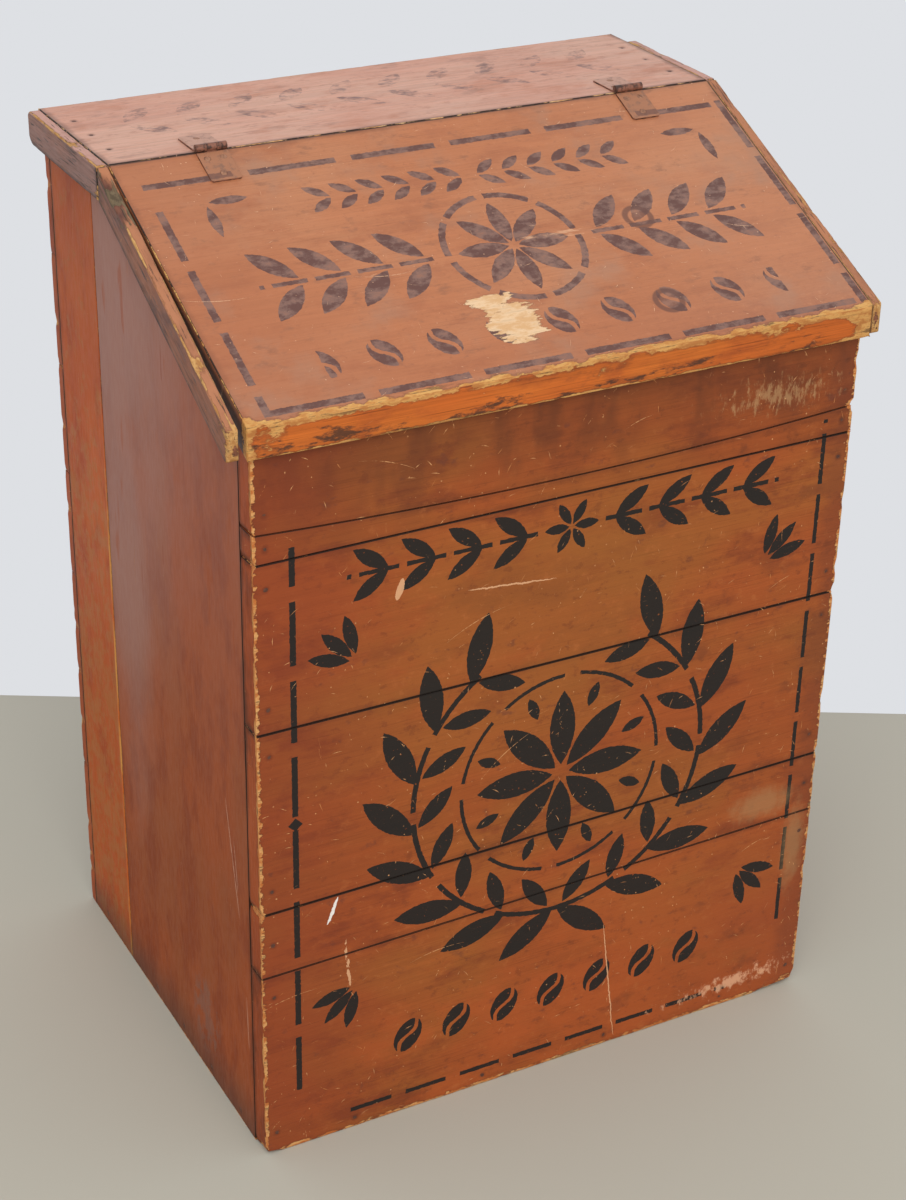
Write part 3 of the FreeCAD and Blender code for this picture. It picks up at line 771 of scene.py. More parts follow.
def make_wear():
    """Paint worn off beside an arris: 1 where the wood is bare, with a rim of thin paint."""
    tree, (place, worn, extra, ragged) = new_group(
        "worn arris", {"Place": ORIGIN, "Worn": 0.0, "Extra": 0.0, "Ragged": 2.0}, ("Bare", "Rim"))
    torn = cloud(tree, place, 7.0, 4.0, (2.2, 1, 1), 0.7)
    uneven = cloud(tree, shifted(tree, place, (0, 0, 30)), 24.0, 3.0).rise(0.36, 0.64)
    near = largest(worn.rise(-0.25, 0.45), extra.rise(0.0, 0.4))
    level = worn * (uneven * 0.7 + 0.42) + (torn - 0.5) * ragged * near + extra
    close_group(tree, Bare=level.rise(0.30, 0.42), Rim=level.rise(0.10, 0.34))


def random_cells(tree, place, cell):
    """Voronoi pattern with cells of one size."""
    node = tree.nodes.new("ShaderNodeTexVoronoi")
    node.voronoi_dimensions = "2D"
    feed(tree, node.inputs["Vector"], place)
    feed(tree, node.inputs["Scale"], cell.math("POWER", -1.0))
    return node


def make_scratches():
    """Short straight scratches, one in some of the cells of a random pattern."""
    tree, (place, cell, length, width, share, lean) = new_group(
        "scratches", {"Place": ORIGIN, "Cell": 40.0, "Length": 9.0, "Width": 0.5, "Share": 0.3,
                      "Lean": 0.6})
    cells = random_cells(tree, place, cell)
    x, y, _ = split(tree, place)
    x_cell, y_cell, _ = split(tree, cells.outputs["Position"])
    turn, chance, size = split(tree, cells.outputs["Color"])
    along, across = turned(x - x_cell, y - y_cell, (turn - 0.5) * math.tau * lean)
    longest = length * (size * 0.8 + 0.2)
    bent = across + along * along / longest * 0.12
    thin = width * (1.0 - abs(along) / longest)
    close_group(tree, Mask=abs(bent).under(thin) * chance.under(share))


def make_specks():
    """Small round marks, one in some of the cells of a random pattern."""
    tree, (place, cell, radius, share) = new_group(
        "specks", {"Place": ORIGIN, "Cell": 20.0, "Radius": 0.8, "Share": 0.3})
    cells = random_cells(tree, place, cell)
    _, chance, size = split(tree, cells.outputs["Color"])
    distance = Field(tree, cells.outputs["Distance"]) * cell
    edge = radius * (size + 0.3)
    close_group(tree, Mask=distance.rise(edge * 0.7, edge, 1.0, 0.0) * chance.under(share))


def make_dash_line():
    """A straight dashed line on its own axis."""
    tree, (along, across, start, end, pitch, share, width) = new_group(
        "dash line", {"Along": 0.0, "Across": 0.0, "Start": 0.0, "End": 100.0, "Pitch": 50.0,
                      "Share": 0.8, "Width": 5.0})
    step = ((along - start) / pitch).math("FRACT")
    inside = along.over(start) * along.under(end)
    close_group(tree, Mask=step.under(share) * inside * abs(across).under(width * 0.5))


def leaf(along, across, length, width):
    """1 inside a leaf pointed at both ends."""
    half, side = length * 0.5, width * 0.5
    offset = (half * half - side * side) / (side * 2.0)
    return reach(along, abs(across) + offset).under(side + offset)


def make_leaf_ring():
    """Leaves repeated round a centre, each turned on its own middle."""
    tree, (x, y, count, radius, length, width, tilt) = new_group(
        "leaf ring", {"X": 0.0, "Y": 0.0, "Count": 8.0, "Radius": 60.0, "Length": 50.0,
                      "Width": 16.0, "Tilt": 0.0})
    sector = count.math("POWER", -1.0) * math.tau
    angle = y.math("ARCTAN2", x)
    own = angle - (angle / sector).math("ROUND") * sector
    distance = reach(x, y)
    along = distance * own.math("COSINE") - radius
    across = distance * own.math("SINE")
    close_group(tree, Mask=leaf(*turned(along, across, tilt), length, width))


def make_ring_line():
    """A ring with gaps at even turns, as a stencil's bridges leave them."""
    tree, (x, y, radius, width, count, share) = new_group(
        "ring line", {"X": 0.0, "Y": 0.0, "Radius": 60.0, "Width": 4.0, "Count": 8.0,
                      "Share": 0.85})
    turn = y.math("ARCTAN2", x) / math.tau + 1.0
    drawn = (turn * count).math("FRACT").under(share)
    close_group(tree, Mask=abs(reach(x, y) - radius).under(width * 0.5) * drawn)


def make_leaf_row():
    """Pairs of leaves repeated along an axis, leaning away from its middle."""
    tree, (x, y, start, end, pitch, length, width, lean, lift) = new_group(
        "leaf row", {"X": 0.0, "Y": 0.0, "Start": 0.0, "End": 200.0, "Pitch": 40.0,
                     "Length": 36.0, "Width": 12.0, "Lean": 0.7, "Lift": 10.0})
    step = ((x - start) / pitch).math("FRACT") - 0.5
    along, across = turned(step * pitch, abs(y) - lift, lean)
    inside = x.over(start) * x.under(end)
    close_group(tree, Mask=leaf(along, across, length, width) * inside)


def make_bean_row():
    """Coffee beans repeated along an axis: ovals parted by a curved crease."""
    tree, (x, y, half_row, pitch, length, width, crease) = new_group(
        "bean row", {"X": 0.0, "Y": 0.0, "Reach": 100.0, "Pitch": 50.0, "Length": 26.0,
                     "Width": 18.0, "Crease": 3.0})
    step = (x / pitch + 0.5).math("FRACT") - 0.5
    along, across = turned(y, step * pitch, 0.5)
    oval = reach(along / length, across / width).under(0.5)
    curve = (along / length * math.tau).math("SINE") * width * 0.14
    halves = abs(across - curve).over(crease * 0.5)
    close_group(tree, Mask=oval * halves * abs(x).under(half_row))


for make in (make_grain, make_wear, make_scratches, make_specks, make_dash_line, make_leaf_ring,
             make_ring_line, make_leaf_row, make_bean_row):
    make()


# --- Stencilled fields ----------------------------------------------------------------------------
FRONT_MIDDLE = 4.0             # of the front's marks, to the right of the bin's own middle
WREATH_HEIGHT, GARLAND_HEIGHT, FRONT_BEANS_HEIGHT = 318.0, 556.0, 84.0
STEM_RADIUS = 143.0
WREATH_OPENING, STEM_OPENING = math.radians(70), math.radians(56)
FAN_PLACE = (194.0, 160.0)     # from the middle of the wreath
FRONT_BORDERS = {"left": -247.0, "right": 252.0, "foot": 20.5}
BORDER_KNOT_HEIGHT = 338.0
LID_MIDDLE = 8.0
SPRAY_DOWN, LID_BEANS_DOWN, LAUREL_DOWN = 158.0, 246.0, 72.0      # down the slope from the ridge
LID_BORDERS = {"top": 31.0, "foot": 284.0, "left": -264.0, "right": 279.0}
LID_CORNER = (232.0, 58.0)
CORNER_LEAF_WIDTH = 9.0


def by_hand(tree, place, across, along, unsteady):
    """Two places with the small waves of a mark laid by hand."""
    across = across + (cloud(tree, place, 4.0, 2.0) - 0.5) * unsteady
    along = along + (cloud(tree, shifted(tree, place, (90, 0, 0)), 4.0, 2.0) - 0.5) * unsteady
    return across, along


def dashes(draw, along, across, start, end, pitch, share, width):
    """Dashed line; share is that of a dash in its pitch."""
    return draw("dash line", along=along, across=across, start=start, end=end, pitch=pitch,
                share=share, width=width)


def leaves(draw, x, y, count, radius, length, width, tilt=0.0):
    """Leaves in a ring."""
    return draw("leaf ring", x=x, y=y, count=count, radius=radius, length=length, width=width,
                tilt=tilt)


def sprays(draw, x, y, start, end, pitch, length, width, lean, lift):
    """Pairs of leaves on a straight stem."""
    return draw("leaf row", x=x, y=y, start=start, end=end, pitch=pitch, length=length,
                width=width, lean=lean, lift=lift)


def ring(draw, x, y, radius, width, count, share):
    """Broken ring."""
    return draw("ring line", x=x, y=y, radius=radius, width=width, count=count, share=share)


def beans(draw, x, y, half_row, pitch, length, width):
    """Row of beans."""
    return draw("bean row", x=x, y=y, reach=half_row, pitch=pitch, length=length, width=width,
                crease=4.0)


def make_front_stencils():
    """Black marks of the front: a wreath round a rosette, garlands, beans and dashed borders."""
    tree, (place,) = new_group("front stencils", {"Place": ORIGIN})
    draw = functools.partial(placed, tree)
    x, z, _ = split(tree, place)
    x, z = by_hand(tree, place, x, z, 1.6)
    middle, side, up = x - FRONT_MIDDLE, abs(x - FRONT_MIDDLE), z - WREATH_HEIGHT
    upward = up.math("ARCTAN2", side)
    outer = leaves(draw, side, up, 18.0, 166.0, 66.0, 22.0, 0.75)
    inner = leaves(draw, side, up, 18.0, 122.0, 46.0, 16.0, -0.8)
    stem = ring(draw, side, up, STEM_RADIUS, 5.0, 12.0, 0.84) * upward.under(STEM_OPENING)
    wreath = largest(largest(outer, inner) * upward.under(WREATH_OPENING), stem)
    petals = leaves(draw, middle, up, 8.0, 45.0, 74.0, 25.0)
    sepals = leaves(draw, *turned(middle, up, math.pi / 8), 8.0, 77.0, 24.0, 10.0)
    circle = ring(draw, middle, up, 97.0, 3.6, 8.0, 0.8)
    fan_x, fan_y = FAN_PLACE
    fan = leaves(draw, *turned(side - fan_x, abs(up) - fan_y, math.pi / 12), 12.0, 27.0, 38.0, 12.0)
    fan = fan * side.over(fan_x) * abs(up).over(fan_y)
    over = z - GARLAND_HEIGHT
    garland = sprays(draw, side, over, 36.0, 204.0, 42.0, 38.0, 13.0, 0.62, 12.0)
    cord = dashes(draw, side, over, 32.0, 204.0, 42.0, 0.84, 4.0)
    flower = leaves(draw, middle, over, 6.0, 14.0, 23.0, 9.0)
    row = beans(draw, middle, z - FRONT_BEANS_HEIGHT, 170.0, 48.5, 36.0, 25.0)
    left = dashes(draw, z, x - FRONT_BORDERS["left"], 62.0, 593.0, 71.0, 0.81, 5.4)
    right = dashes(draw, z, x - FRONT_BORDERS["right"], 82.0, 603.0, 57.5, 0.83, 4.2)
    foot = dashes(draw, x, z - FRONT_BORDERS["foot"], -198.0, 200.0, 55.0, 0.74, 4.6)
    knot = (abs(x - FRONT_BORDERS["left"]) + abs(z - BORDER_KNOT_HEIGHT)).under(6.5)
    close_group(tree, Mask=largest(wreath, petals, sepals, circle, fan, garland, cord, flower, row,
                                   left, right, foot, knot))


def make_lid_stencils():
    """Faded marks of the lid: a rosette between laurel sprays inside a dashed border."""
    tree, (place,) = new_group("lid stencils", {"Place": ORIGIN})
    draw = functools.partial(placed, tree)
    x, s, _ = split(tree, place)
    x, s = by_hand(tree, place, x, s, 2.0)
    middle, side, down = x - LID_MIDDLE, abs(x - LID_MIDDLE), s - SPRAY_DOWN
    petals = leaves(draw, middle, down, 8.0, 28.0, 47.0, 16.0)
    circle = ring(draw, middle, down, 60.0, 6.0, 8.0, 0.84)
    laurel = sprays(draw, side, down, 78.0, 226.0, 37.0, 47.0, 17.0, 0.8, 21.0)
    stem = dashes(draw, side, down, 74.0, 226.0, 37.0, 0.82, 4.4)
    row = beans(draw, middle, s - LID_BEANS_DOWN, 210.0, 52.5, 32.0, 23.0)
    small = sprays(draw, side, s - LAUREL_DOWN, 6.0, 150.0, 24.0, 24.0, 9.0, 0.6, 8.0)
    top = dashes(draw, x, s - LID_BORDERS["top"], -267.0, 282.0, 92.0, 0.84, 6.4)
    foot = dashes(draw, x, s - LID_BORDERS["foot"], -262.0, 278.0, 91.0, 0.86, 6.4)
    left = dashes(draw, s, x - LID_BORDERS["left"], 60.0, 287.0, 68.5, 0.83, 6.4)
    right = dashes(draw, s, x - LID_BORDERS["right"], 27.0, 287.0, 75.0, 0.85, 6.4)
    corner_x, corner_s = side - LID_CORNER[0], s - LID_CORNER[1]
    level = leaf(corner_x + 20.0, corner_s, 34.0, CORNER_LEAF_WIDTH)
    plumb = leaf(corner_s - 22.0, corner_x, 36.0, CORNER_LEAF_WIDTH)
    close_group(tree, Mask=largest(petals, circle, laurel, stem, row, small, top, foot, left,
                                   right, level, plumb))


make_front_stencils()
make_lid_stencils()


# --- Finishes -------------------------------------------------------------------------------------
DIRT = (0.075, 0.022, 0.010)
GRAIN_DIRT = (0.10, 0.045, 0.02)
JOINT_DARK = (0.012, 0.007, 0.005)
THIN_RIM = (0.09, 0.03, 0.015)
JOINT_LINE = (0.916, 0.940)    # how near a joint the dark line starts and is full
UP = (0, 0, 1)
DOWN_SLOPE = (0, -math.cos(LID_SLOPE), -math.sin(LID_SLOPE))
RIDGE = (0.0, LID_HIGH[1], LID_HIGH[2])


def spot(x, y, middle, size):
    """1 in the middle of an oval, 0 on its edge and less outside."""
    return 1.0 - reach((x - middle[0]) / size[0], (y - middle[1]) / size[1])


def stroke(x, y, start, end, width):
    """1 on a thin line that tapers to both its ends."""
    along_x, along_y = end[0] - start[0], end[1] - start[1]
    length = math.hypot(along_x, along_y)
    share = ((x - start[0]) * along_x + (y - start[1]) * along_y) / length ** 2
    across = ((y - start[1]) * along_x - (x - start[0]) * along_y) / length
    half = (share - share * share).math("SQRT") * width
    return abs(across).under(half)


class Finish:
    """A material in the making: places over a surface, and colour laid over colour."""

    def __init__(self, name, along, across, origin=ORIGIN):
        self.material = bpy.data.materials.new(name)
        self.material.use_nodes = True
        self.tree = self.material.node_tree
        self.shader = self.tree.nodes["Principled BSDF"]
        self.colour = None
        self.streaks = None                         # of the grain, once old_paint has laid it
        coordinate = self.tree.nodes.new("ShaderNodeTexCoord").outputs["Object"]
        along, across = Vector(along), Vector(across)
        self.ways = []                              # places along, across and through a face
        for way in (along, across, along.cross(across)):
            node = self.tree.nodes.new("ShaderNodeVectorMath")
            node.operation = "DOT_PRODUCT"
            self.tree.links.new(coordinate, node.inputs[0])
            node.inputs[1].default_value = way / MM
            self.ways.append(Field(self.tree, node.outputs["Value"]) - way.dot(Vector(origin)))
        self.place = combine(self.tree, *self.ways)

    def cloud(self, size, detail=2.0, stretch=(1, 1, 1), roughness=0.5, shift=None):
        """Noise over the surface; shift sets it apart from another one."""
        place = shifted(self.tree, self.place, shift) if shift else self.place
        return cloud(self.tree, place, size, detail, stretch, roughness)

    def effect(self, name, output="Mask", shift=None, **values):
        """One of the shared effects, laid over the surface."""
        place = shifted(self.tree, self.place, shift) if shift else self.place
        return placed(self.tree, name, output, place=place, **values)

    def mark(self, label):
        """What a board's own mesh says of a place, such as how near a joint it is."""
        return attribute(self.tree, label)

    def coat(self, share, colour, blend="MIX"):
        """Lay a colour over what is there."""
        self.colour = mixed(self.tree, share, self.colour, colour, blend)

    def close(self, roughness, relief, specular, coat=0.0, coat_roughness=0.3):
        """Join the finish up; relief is in millimetres and is felt in the shading only."""
        bump = self.tree.nodes.new("ShaderNodeBump")
        bump.inputs["Distance"].default_value = MM
        bump.inputs["Strength"].default_value = 1.0
        feed(self.tree, bump.inputs["Height"], relief)
        for label, value in (("Base Color", self.colour), ("Roughness", roughness),
                             ("Normal", bump.outputs[0]), ("Specular IOR Level", specular),
                             ("Coat Weight", coat), ("Coat Roughness", coat_roughness)):
            feed(self.tree, self.shader.inputs[label], value)
        return self.material


def old_paint(paint, tones, dirt, grime=0.7, grain=1.0):
    """Clouded paint in a main, a warm and a deep tone over grain, darker by joints and nails."""
    main, warm, deep = tones
    paint.streaks = paint.effect("pine grain", "Streaks")
    bands = paint.effect("pine grain", "Bands")
    wide = paint.cloud(120.0, 3.0, (1.8, 1, 1))
    close = paint.cloud(34.0, 6.0, (2.2, 1, 1), 0.66, (310, 40, 0))
    hairs = paint.cloud(1.1, 2.0, (55, 1, 1))
    tone = paint.mark("tone")
    paint.colour = mixed(paint.tree, wide.rise(0.42, 0.62), main, warm)
    paint.coat((close + (tone - 0.5) * 0.12).rise(0.48, 0.68) * 0.8, deep)
    shade = paint.streaks.rise(0.3, 0.7, 1.0 - 0.2 * grain, 1.0 + 0.14 * grain)
    shade = shade * bands.rise(0.0, 1.0, 1.0 - 0.05 * grain, 1.0 + 0.04 * grain)
    shade = shade * hairs.rise(0.60, 0.70, 1.0, 1.0 - 0.4 * grain)
    paint.coat(1.0, shade * (tone * 0.12 + 0.94), "MULTIPLY")
    seam = paint.mark("seam")
    dirty = (seam.rise(0.3, 1.0) + (close - 0.5) * seam.rise(0.0, 0.5) * 1.6).rise(0.35, 1.15)
    paint.coat(dirty * grime, dirt)
    stain = (paint.mark("stain") + (close - 0.5) * 0.5).rise(0.35, 0.85)
    paint.coat(stain * 0.7, dirt)


def bare_wood(paint, pale, tan, dirt=0.75):
    """Colour of wood where the paint has gone, with dirt in its grain."""
    streaks = paint.effect("pine grain", "Streaks")
    patchy = paint.cloud(7.0, 5.0, (2.5, 1, 1), 0.7, (55, 8, 3))
    colour = mixed(paint.tree, patchy.rise(0.40, 0.58), tan, pale)
    return mixed(paint.tree, (patchy + streaks).rise(1.04, 1.20) * dirt, colour, GRAIN_DIRT)


def worn_finish(paint, wood, specular, coat=(0.0, 0.3), extra=0.0, ragged=2.0,
                scratch=(0.74, 0.36, 0.15), scratches=(0.5, 0.35), bold=1.0, rough=(0.42, 0.56),
                lean=0.5):
    """Scratches, specks, joint lines and bare arrises over a painted face; gives its material.

    coat is the weight and roughness of the varnish, extra the wear beside what the mesh says,
    scratches the shares of short and long ones, bold the factor on their width, rough the lowest
    and highest roughness, and lean how far the scratches turn from the grain.
    """
    wear = {"worn": paint.mark("worn"), "extra": extra, "ragged": ragged}
    bare = paint.effect("worn arris", "Bare", **wear)
    rim = paint.effect("worn arris", "Rim", **wear)
    short = paint.effect("scratches", cell=22.0, length=5.5, width=0.30 * bold,
                         share=scratches[0], lean=lean)
    long = paint.effect("scratches", shift=(500, 0, 0), cell=150.0, length=38.0, width=0.4,
                        share=scratches[1], lean=lean * 0.4)
    specks = paint.effect("specks", cell=9.0, radius=0.55 * bold, share=0.22)
    broken = paint.cloud(2.5, shift=(0, 70, 0)).rise(0.35, 0.55)
    busy = paint.cloud(60.0, 3.0, shift=(0, 0, 60)).rise(0.40, 0.60)
    marks = largest(short * busy, long, specks * busy) * broken
    paint.coat(rim * 0.4, THIN_RIM)
    paint.coat(paint.mark("seam").rise(*JOINT_LINE) * 0.94, JOINT_DARK)
    paint.coat(marks * 0.75, scratch)
    paint.coat(bare, wood)
    fine = paint.cloud(3.0, 3.0, (4, 1, 1))
    sheen = fine.rise(0.3, 0.7, *rough) + largest(bare, marks) * (0.8 - rough[1])
    relief = paint.streaks * 0.2 + fine * 0.05 - bare * 0.3 - marks * 0.15
    return paint.close(sheen, relief, specular, *coat)


GOLDEN_AREA = (-30.0, 490.0), (270.0, 130.0)       # middle and size on the front, as the next ones
CHALKY_RUB = (200.0, 636.0), (90.0, 24.0)
KHAKI_RUBS = ((222.0, 222.0), (46.0, 22.0)), ((262.0, 165.0), (16.0, 62.0))
SCUFF, SCUFF_RISE = ((206.0, 25.0), (92.0, 14.0)), 0.05
PALE_SCRATCHES = (((57.0, 139.0), (75.0, 6.0), 1.3), ((-92.0, 519.0), (-8.0, 511.0), 1.5),
                  ((-156.0, 525.0), (-150.0, 544.0), 6.0))      # start, end and width
BROKEN_SCRATCH = (-203.0, 211.0), (-197.0, 150.0), 3.0
WHITE_SCRATCH = (-219.0, 229.0), (-209.0, 255.0), 3.0


def front_paint():
    """Orange-red, golden above the middle, darkened under the lid by painted shade and rubbed at
    the right.
    """
    paint = Finish("front paint", (1, 0, 0), UP)
    x, z, _ = paint.ways
    old_paint(paint, ((0.37, 0.082, 0.018), (0.35, 0.098, 0.020), (0.22, 0.045, 0.014)), DIRT,
              0.32, 0.5)
    mottle = paint.cloud(50.0, 6.0, (1.6, 1, 1), 0.68)
    golden = (spot(x, z, *GOLDEN_AREA) + (mottle - 0.5) * 1.8).rise(0.1, 0.8)
    paint.coat(golden * 0.6, (0.32, 0.105, 0.021))
    bright = z.rise(260.0, 80.0) * (mottle + x * 0.0006).rise(0.38, 0.60)
    paint.coat(bright * 0.65, (0.45, 0.094, 0.020))
    rubs = paint.cloud(11.0, 6.0, (1.3, 1, 1), 0.72, (40, 0, 0))
    paint.coat(rubs.rise(0.56, 0.70) * 0.35, (0.50, 0.150, 0.040))
    paint.coat(rubs.rise(0.44, 0.34) * 0.4, (0.15, 0.034, 0.012))
    # Painted shade under the lid: patchy darkening up the top of the front, then a darker band
    # right up to the lid.
    under_lid_shade_patches = paint.cloud(26.0, 3.0, (1, 2.5, 1)).rise(0.42, 0.66)
    paint.coat(under_lid_shade_patches * z.rise(560.0, 670.0) * 0.6, (0.13, 0.034, 0.013))
    paint.coat((z + mottle * 60.0).rise(600.0, 730.0) * 0.62, (0.10, 0.030, 0.012))
    dusk = (x.rise(225.0, 278.0) + (mottle - 0.5) * 2.4).rise(0.3, 1.1)
    paint.coat(dusk * 0.5, (0.17, 0.042, 0.018))
    paint.coat((x + mottle * 90.0).rise(-60.0, -230.0) * 0.5, (0.23, 0.038, 0.015))
    paint.coat(z.rise(230.0, 90.0) * x.rise(60.0, 240.0) * 0.3, (0.25, 0.052, 0.017))
    shadow = paint.cloud(30.0, 4.0, (1.5, 1, 1), 0.6, (0, 0, 90)).rise(0.58, 0.72)
    paint.coat(shadow * x.rise(-60.0, 160.0) * 0.5, (0.16, 0.040, 0.016))
    stained = paint.cloud(15.0, 3.0, (1.3, 1, 1), 0.6, (600, 0, 0))
    paint.coat(stained.rise(0.64, 0.76) * 0.5, (0.12, 0.036, 0.024))
    thin = paint.cloud(3.0, 3.0).rise(0.24, 0.34)
    paint.coat(paint.effect("front stencils") * thin * 0.98, (0.015, 0.014, 0.013))
    chalk = paint.cloud(9.0, 5.0, (1, 1.6, 1), 0.72)
    upright = paint.cloud(4.5, 5.0, (1, 3, 1), 0.7)
    rubbed = (spot(x, z, *CHALKY_RUB) + (upright - 0.58) * 4.0).rise(0.1, 0.8)
    paint.coat(rubbed * 0.45, (0.55, 0.33, 0.15))
    khaki = largest(*[spot(x, z, *rub) for rub in KHAKI_RUBS])
    paint.coat((khaki + (chalk - 0.5) * 1.1).rise(0.0, 0.75) * 0.42, (0.43, 0.255, 0.110))
    scuff_z = z - (x - SCUFF[0][0]) * SCUFF_RISE
    scuffed = spot(x, scuff_z, *SCUFF) + (chalk - 0.55) * 4.0
    paint.coat(scuffed.rise(0.2, 0.8) * 0.8, (0.80, 0.42, 0.24))
    x, z = x + (rubs - 0.5) * 5.0, z + (chalk - 0.5) * 5.0
    pale = largest(*[stroke(x, z, *line) for line in PALE_SCRATCHES],
                   stroke(x, z, *BROKEN_SCRATCH) * chalk.over(0.5))
    paint.coat(pale * 0.85, (0.74, 0.40, 0.21))
    paint.coat(stroke(x, z, *WHITE_SCRATCH), (0.88, 0.82, 0.76))
    hair = paint.effect("scratches", shift=(0, 900, 0), cell=17.0, length=9.0, width=0.30,
                        share=0.6, lean=1.0)
    crowded = paint.cloud(45.0, 3.0, shift=(0, 400, 0)).rise(0.50, 0.60)
    paint.coat(hair * chalk.over(0.50) * crowded * 0.65, (0.66, 0.27, 0.09))
    wood = bare_wood(paint, (0.70, 0.36, 0.13), (0.50, 0.15, 0.035))
    return worn_finish(paint, wood, 0.2, (0.05, 0.3), ragged=3.0, scratches=(0.7, 0.45), bold=1.3)


# Upright band of the side's dusty film: part dust, part painted sheen.
DUST_AND_SHEEN_COLUMN = (490.0, SIDE_JOINT_Y - 42.0), (340.0, 84.0)      # up a side and across it
SOOTY_PLACE = (62.0, SIDE_FRONT_Y + 106.0), (48.0, 34.0)
SIDE_SCRATCHES = (((335.0, SIDE_FRONT_Y + 46.0), (226.0, SIDE_FRONT_Y + 22.0), 1.9),
                  ((300.0, SIDE_FRONT_Y + 30.0), (250.0, SIDE_FRONT_Y + 24.0), 1.3),
                  ((150.0, SIDE_FRONT_Y + 12.0), (96.0, SIDE_FRONT_Y + 9.0), 1.4))


def upright_paint(name, tones, bloom_sheen_and_shade, rubbed, scratches):
    """Paint of the upright side boards.

    The share after tones is that of the dusty film near the top, part dust and part painted sheen,
    and of the painted shade under the lid;
    rubbed is that of brown rubbed places and of the bright arris along the joint, and scratches are
    the shares of short and long ones.
    """
    paint = Finish(name, UP, (0, 1, 0))
    z, y, _ = paint.ways
    old_paint(paint, tones, DIRT, 0.35, 0.12)
    runs = paint.cloud(24.0, 5.0, (6, 1, 1), 0.6)
    # Dusty film near the top of the front side board: part dust bloom, part painted sheen where the
    # board reflects the room.
    dust_and_sheen_cloud = paint.cloud(95.0, 5.0, (2.0, 1, 1), 0.52)
    dust_and_sheen = z.rise(190.0, 700.0) * (dust_and_sheen_cloud + (runs - 0.5) * 0.2).rise(0.12, 0.58)
    dust_and_sheen = dust_and_sheen * (y + z * 0.25).rise(SIDE_FRONT_Y + 190.0, SIDE_FRONT_Y + 400.0, 0.3, 1.0)
    column = spot(z, y, *DUST_AND_SHEEN_COLUMN) + (dust_and_sheen_cloud - 0.5) * 0.7
    dust_and_sheen = largest(dust_and_sheen, column.rise(0.0, 0.75) * 0.85)
    paint.coat(dust_and_sheen * bloom_sheen_and_shade, (0.37, 0.190, 0.150))
    # Darker band just under the lid: dirt and painted shade.
    below_lid = (y - RIDGE[1]) * math.tan(LID_SLOPE) + (RIDGE[2] - LID_PLUMB) - z
    paint.coat((below_lid + runs * 24.0).rise(56.0, 28.0) * bloom_sheen_and_shade * 0.7, (0.17, 0.080, 0.062))
    drips = paint.cloud(5.0, 3.0, (22, 1, 1), shift=(9, 33, 0)).rise(0.70, 0.73)
    paint.coat(drips * z.rise(260.0, 420.0) * 0.6, (0.24, 0.036, 0.014))
    paint.coat(runs.rise(0.62, 0.68) * 0.5, tones[0])
    brown = paint.cloud(13.0, 6.0, (1.4, 1, 1), 0.75, (0, 50, 0))
    brown = (brown + z.rise(660.0, 430.0, -0.08, 0.02)).rise(0.46, 0.58)
    paint.coat(brown * 0.7 * rubbed, (0.40, 0.148, 0.040))
    arris = (y - SIDE_JOINT_Y).rise(6.0, 2.0) * (z * -0.0016 + runs).rise(-0.50, -0.22)
    yellow = paint.cloud(60.0, 3.0, shift=(70, 0, 0)).rise(0.44, 0.58)
    bright = mixed(paint.tree, yellow, (0.60, 0.130, 0.020), (0.70, 0.31, 0.07))
    paint.coat(arris * rubbed, bright)
    paint.coat(z.rise(60.0, 0.0) * 0.6, (0.10, 0.05, 0.035))
    paint.coat(z.rise(540.0, 760.0) * rubbed * 0.35, (0.24, 0.070, 0.036))
    soot = spot(z, y, *SOOTY_PLACE) + (brown - 0.5) * 0.8
    paint.coat(soot.rise(0.2, 0.8) * 0.45, (0.20, 0.125, 0.100))
    pale = largest(*[stroke(z, y, *line) for line in SIDE_SCRATCHES])
    paint.coat(pale * brown.rise(0.1, 0.5, 0.35, 0.8), (0.52, 0.28, 0.19))
    wood = bare_wood(paint, (0.62, 0.28, 0.08), (0.50, 0.16, 0.04))
    return worn_finish(paint, wood, 0.07, scratches=scratches, lean=0.15,
                       scratch=(0.50, 0.24, 0.12), rough=(0.40, 0.52))


def end_paint(name, tones, grime):
    """Ends of the level boards, beside the sides."""
    paint = Finish(name, UP, (0, 1, 0))
    old_paint(paint, tones, DIRT, grime, 0.5)
    wood = bare_wood(paint, (0.60, 0.28, 0.10), (0.46, 0.16, 0.05))
    return worn_finish(paint, wood, 0.08, scratches=(0.9, 0.5))


KNOT_RINGS, KNOT_RADIUS = ((131.0, 150.0), (108.5, 246.5)), 11.5
RUBBED_LINE = (56.0, 154.0), (58.0, 5.0)
BARE_PATCH = ((-32.0, 237.0), (28.0, 30.0)), ((-40.0, 212.0), (26.0, 9.0))


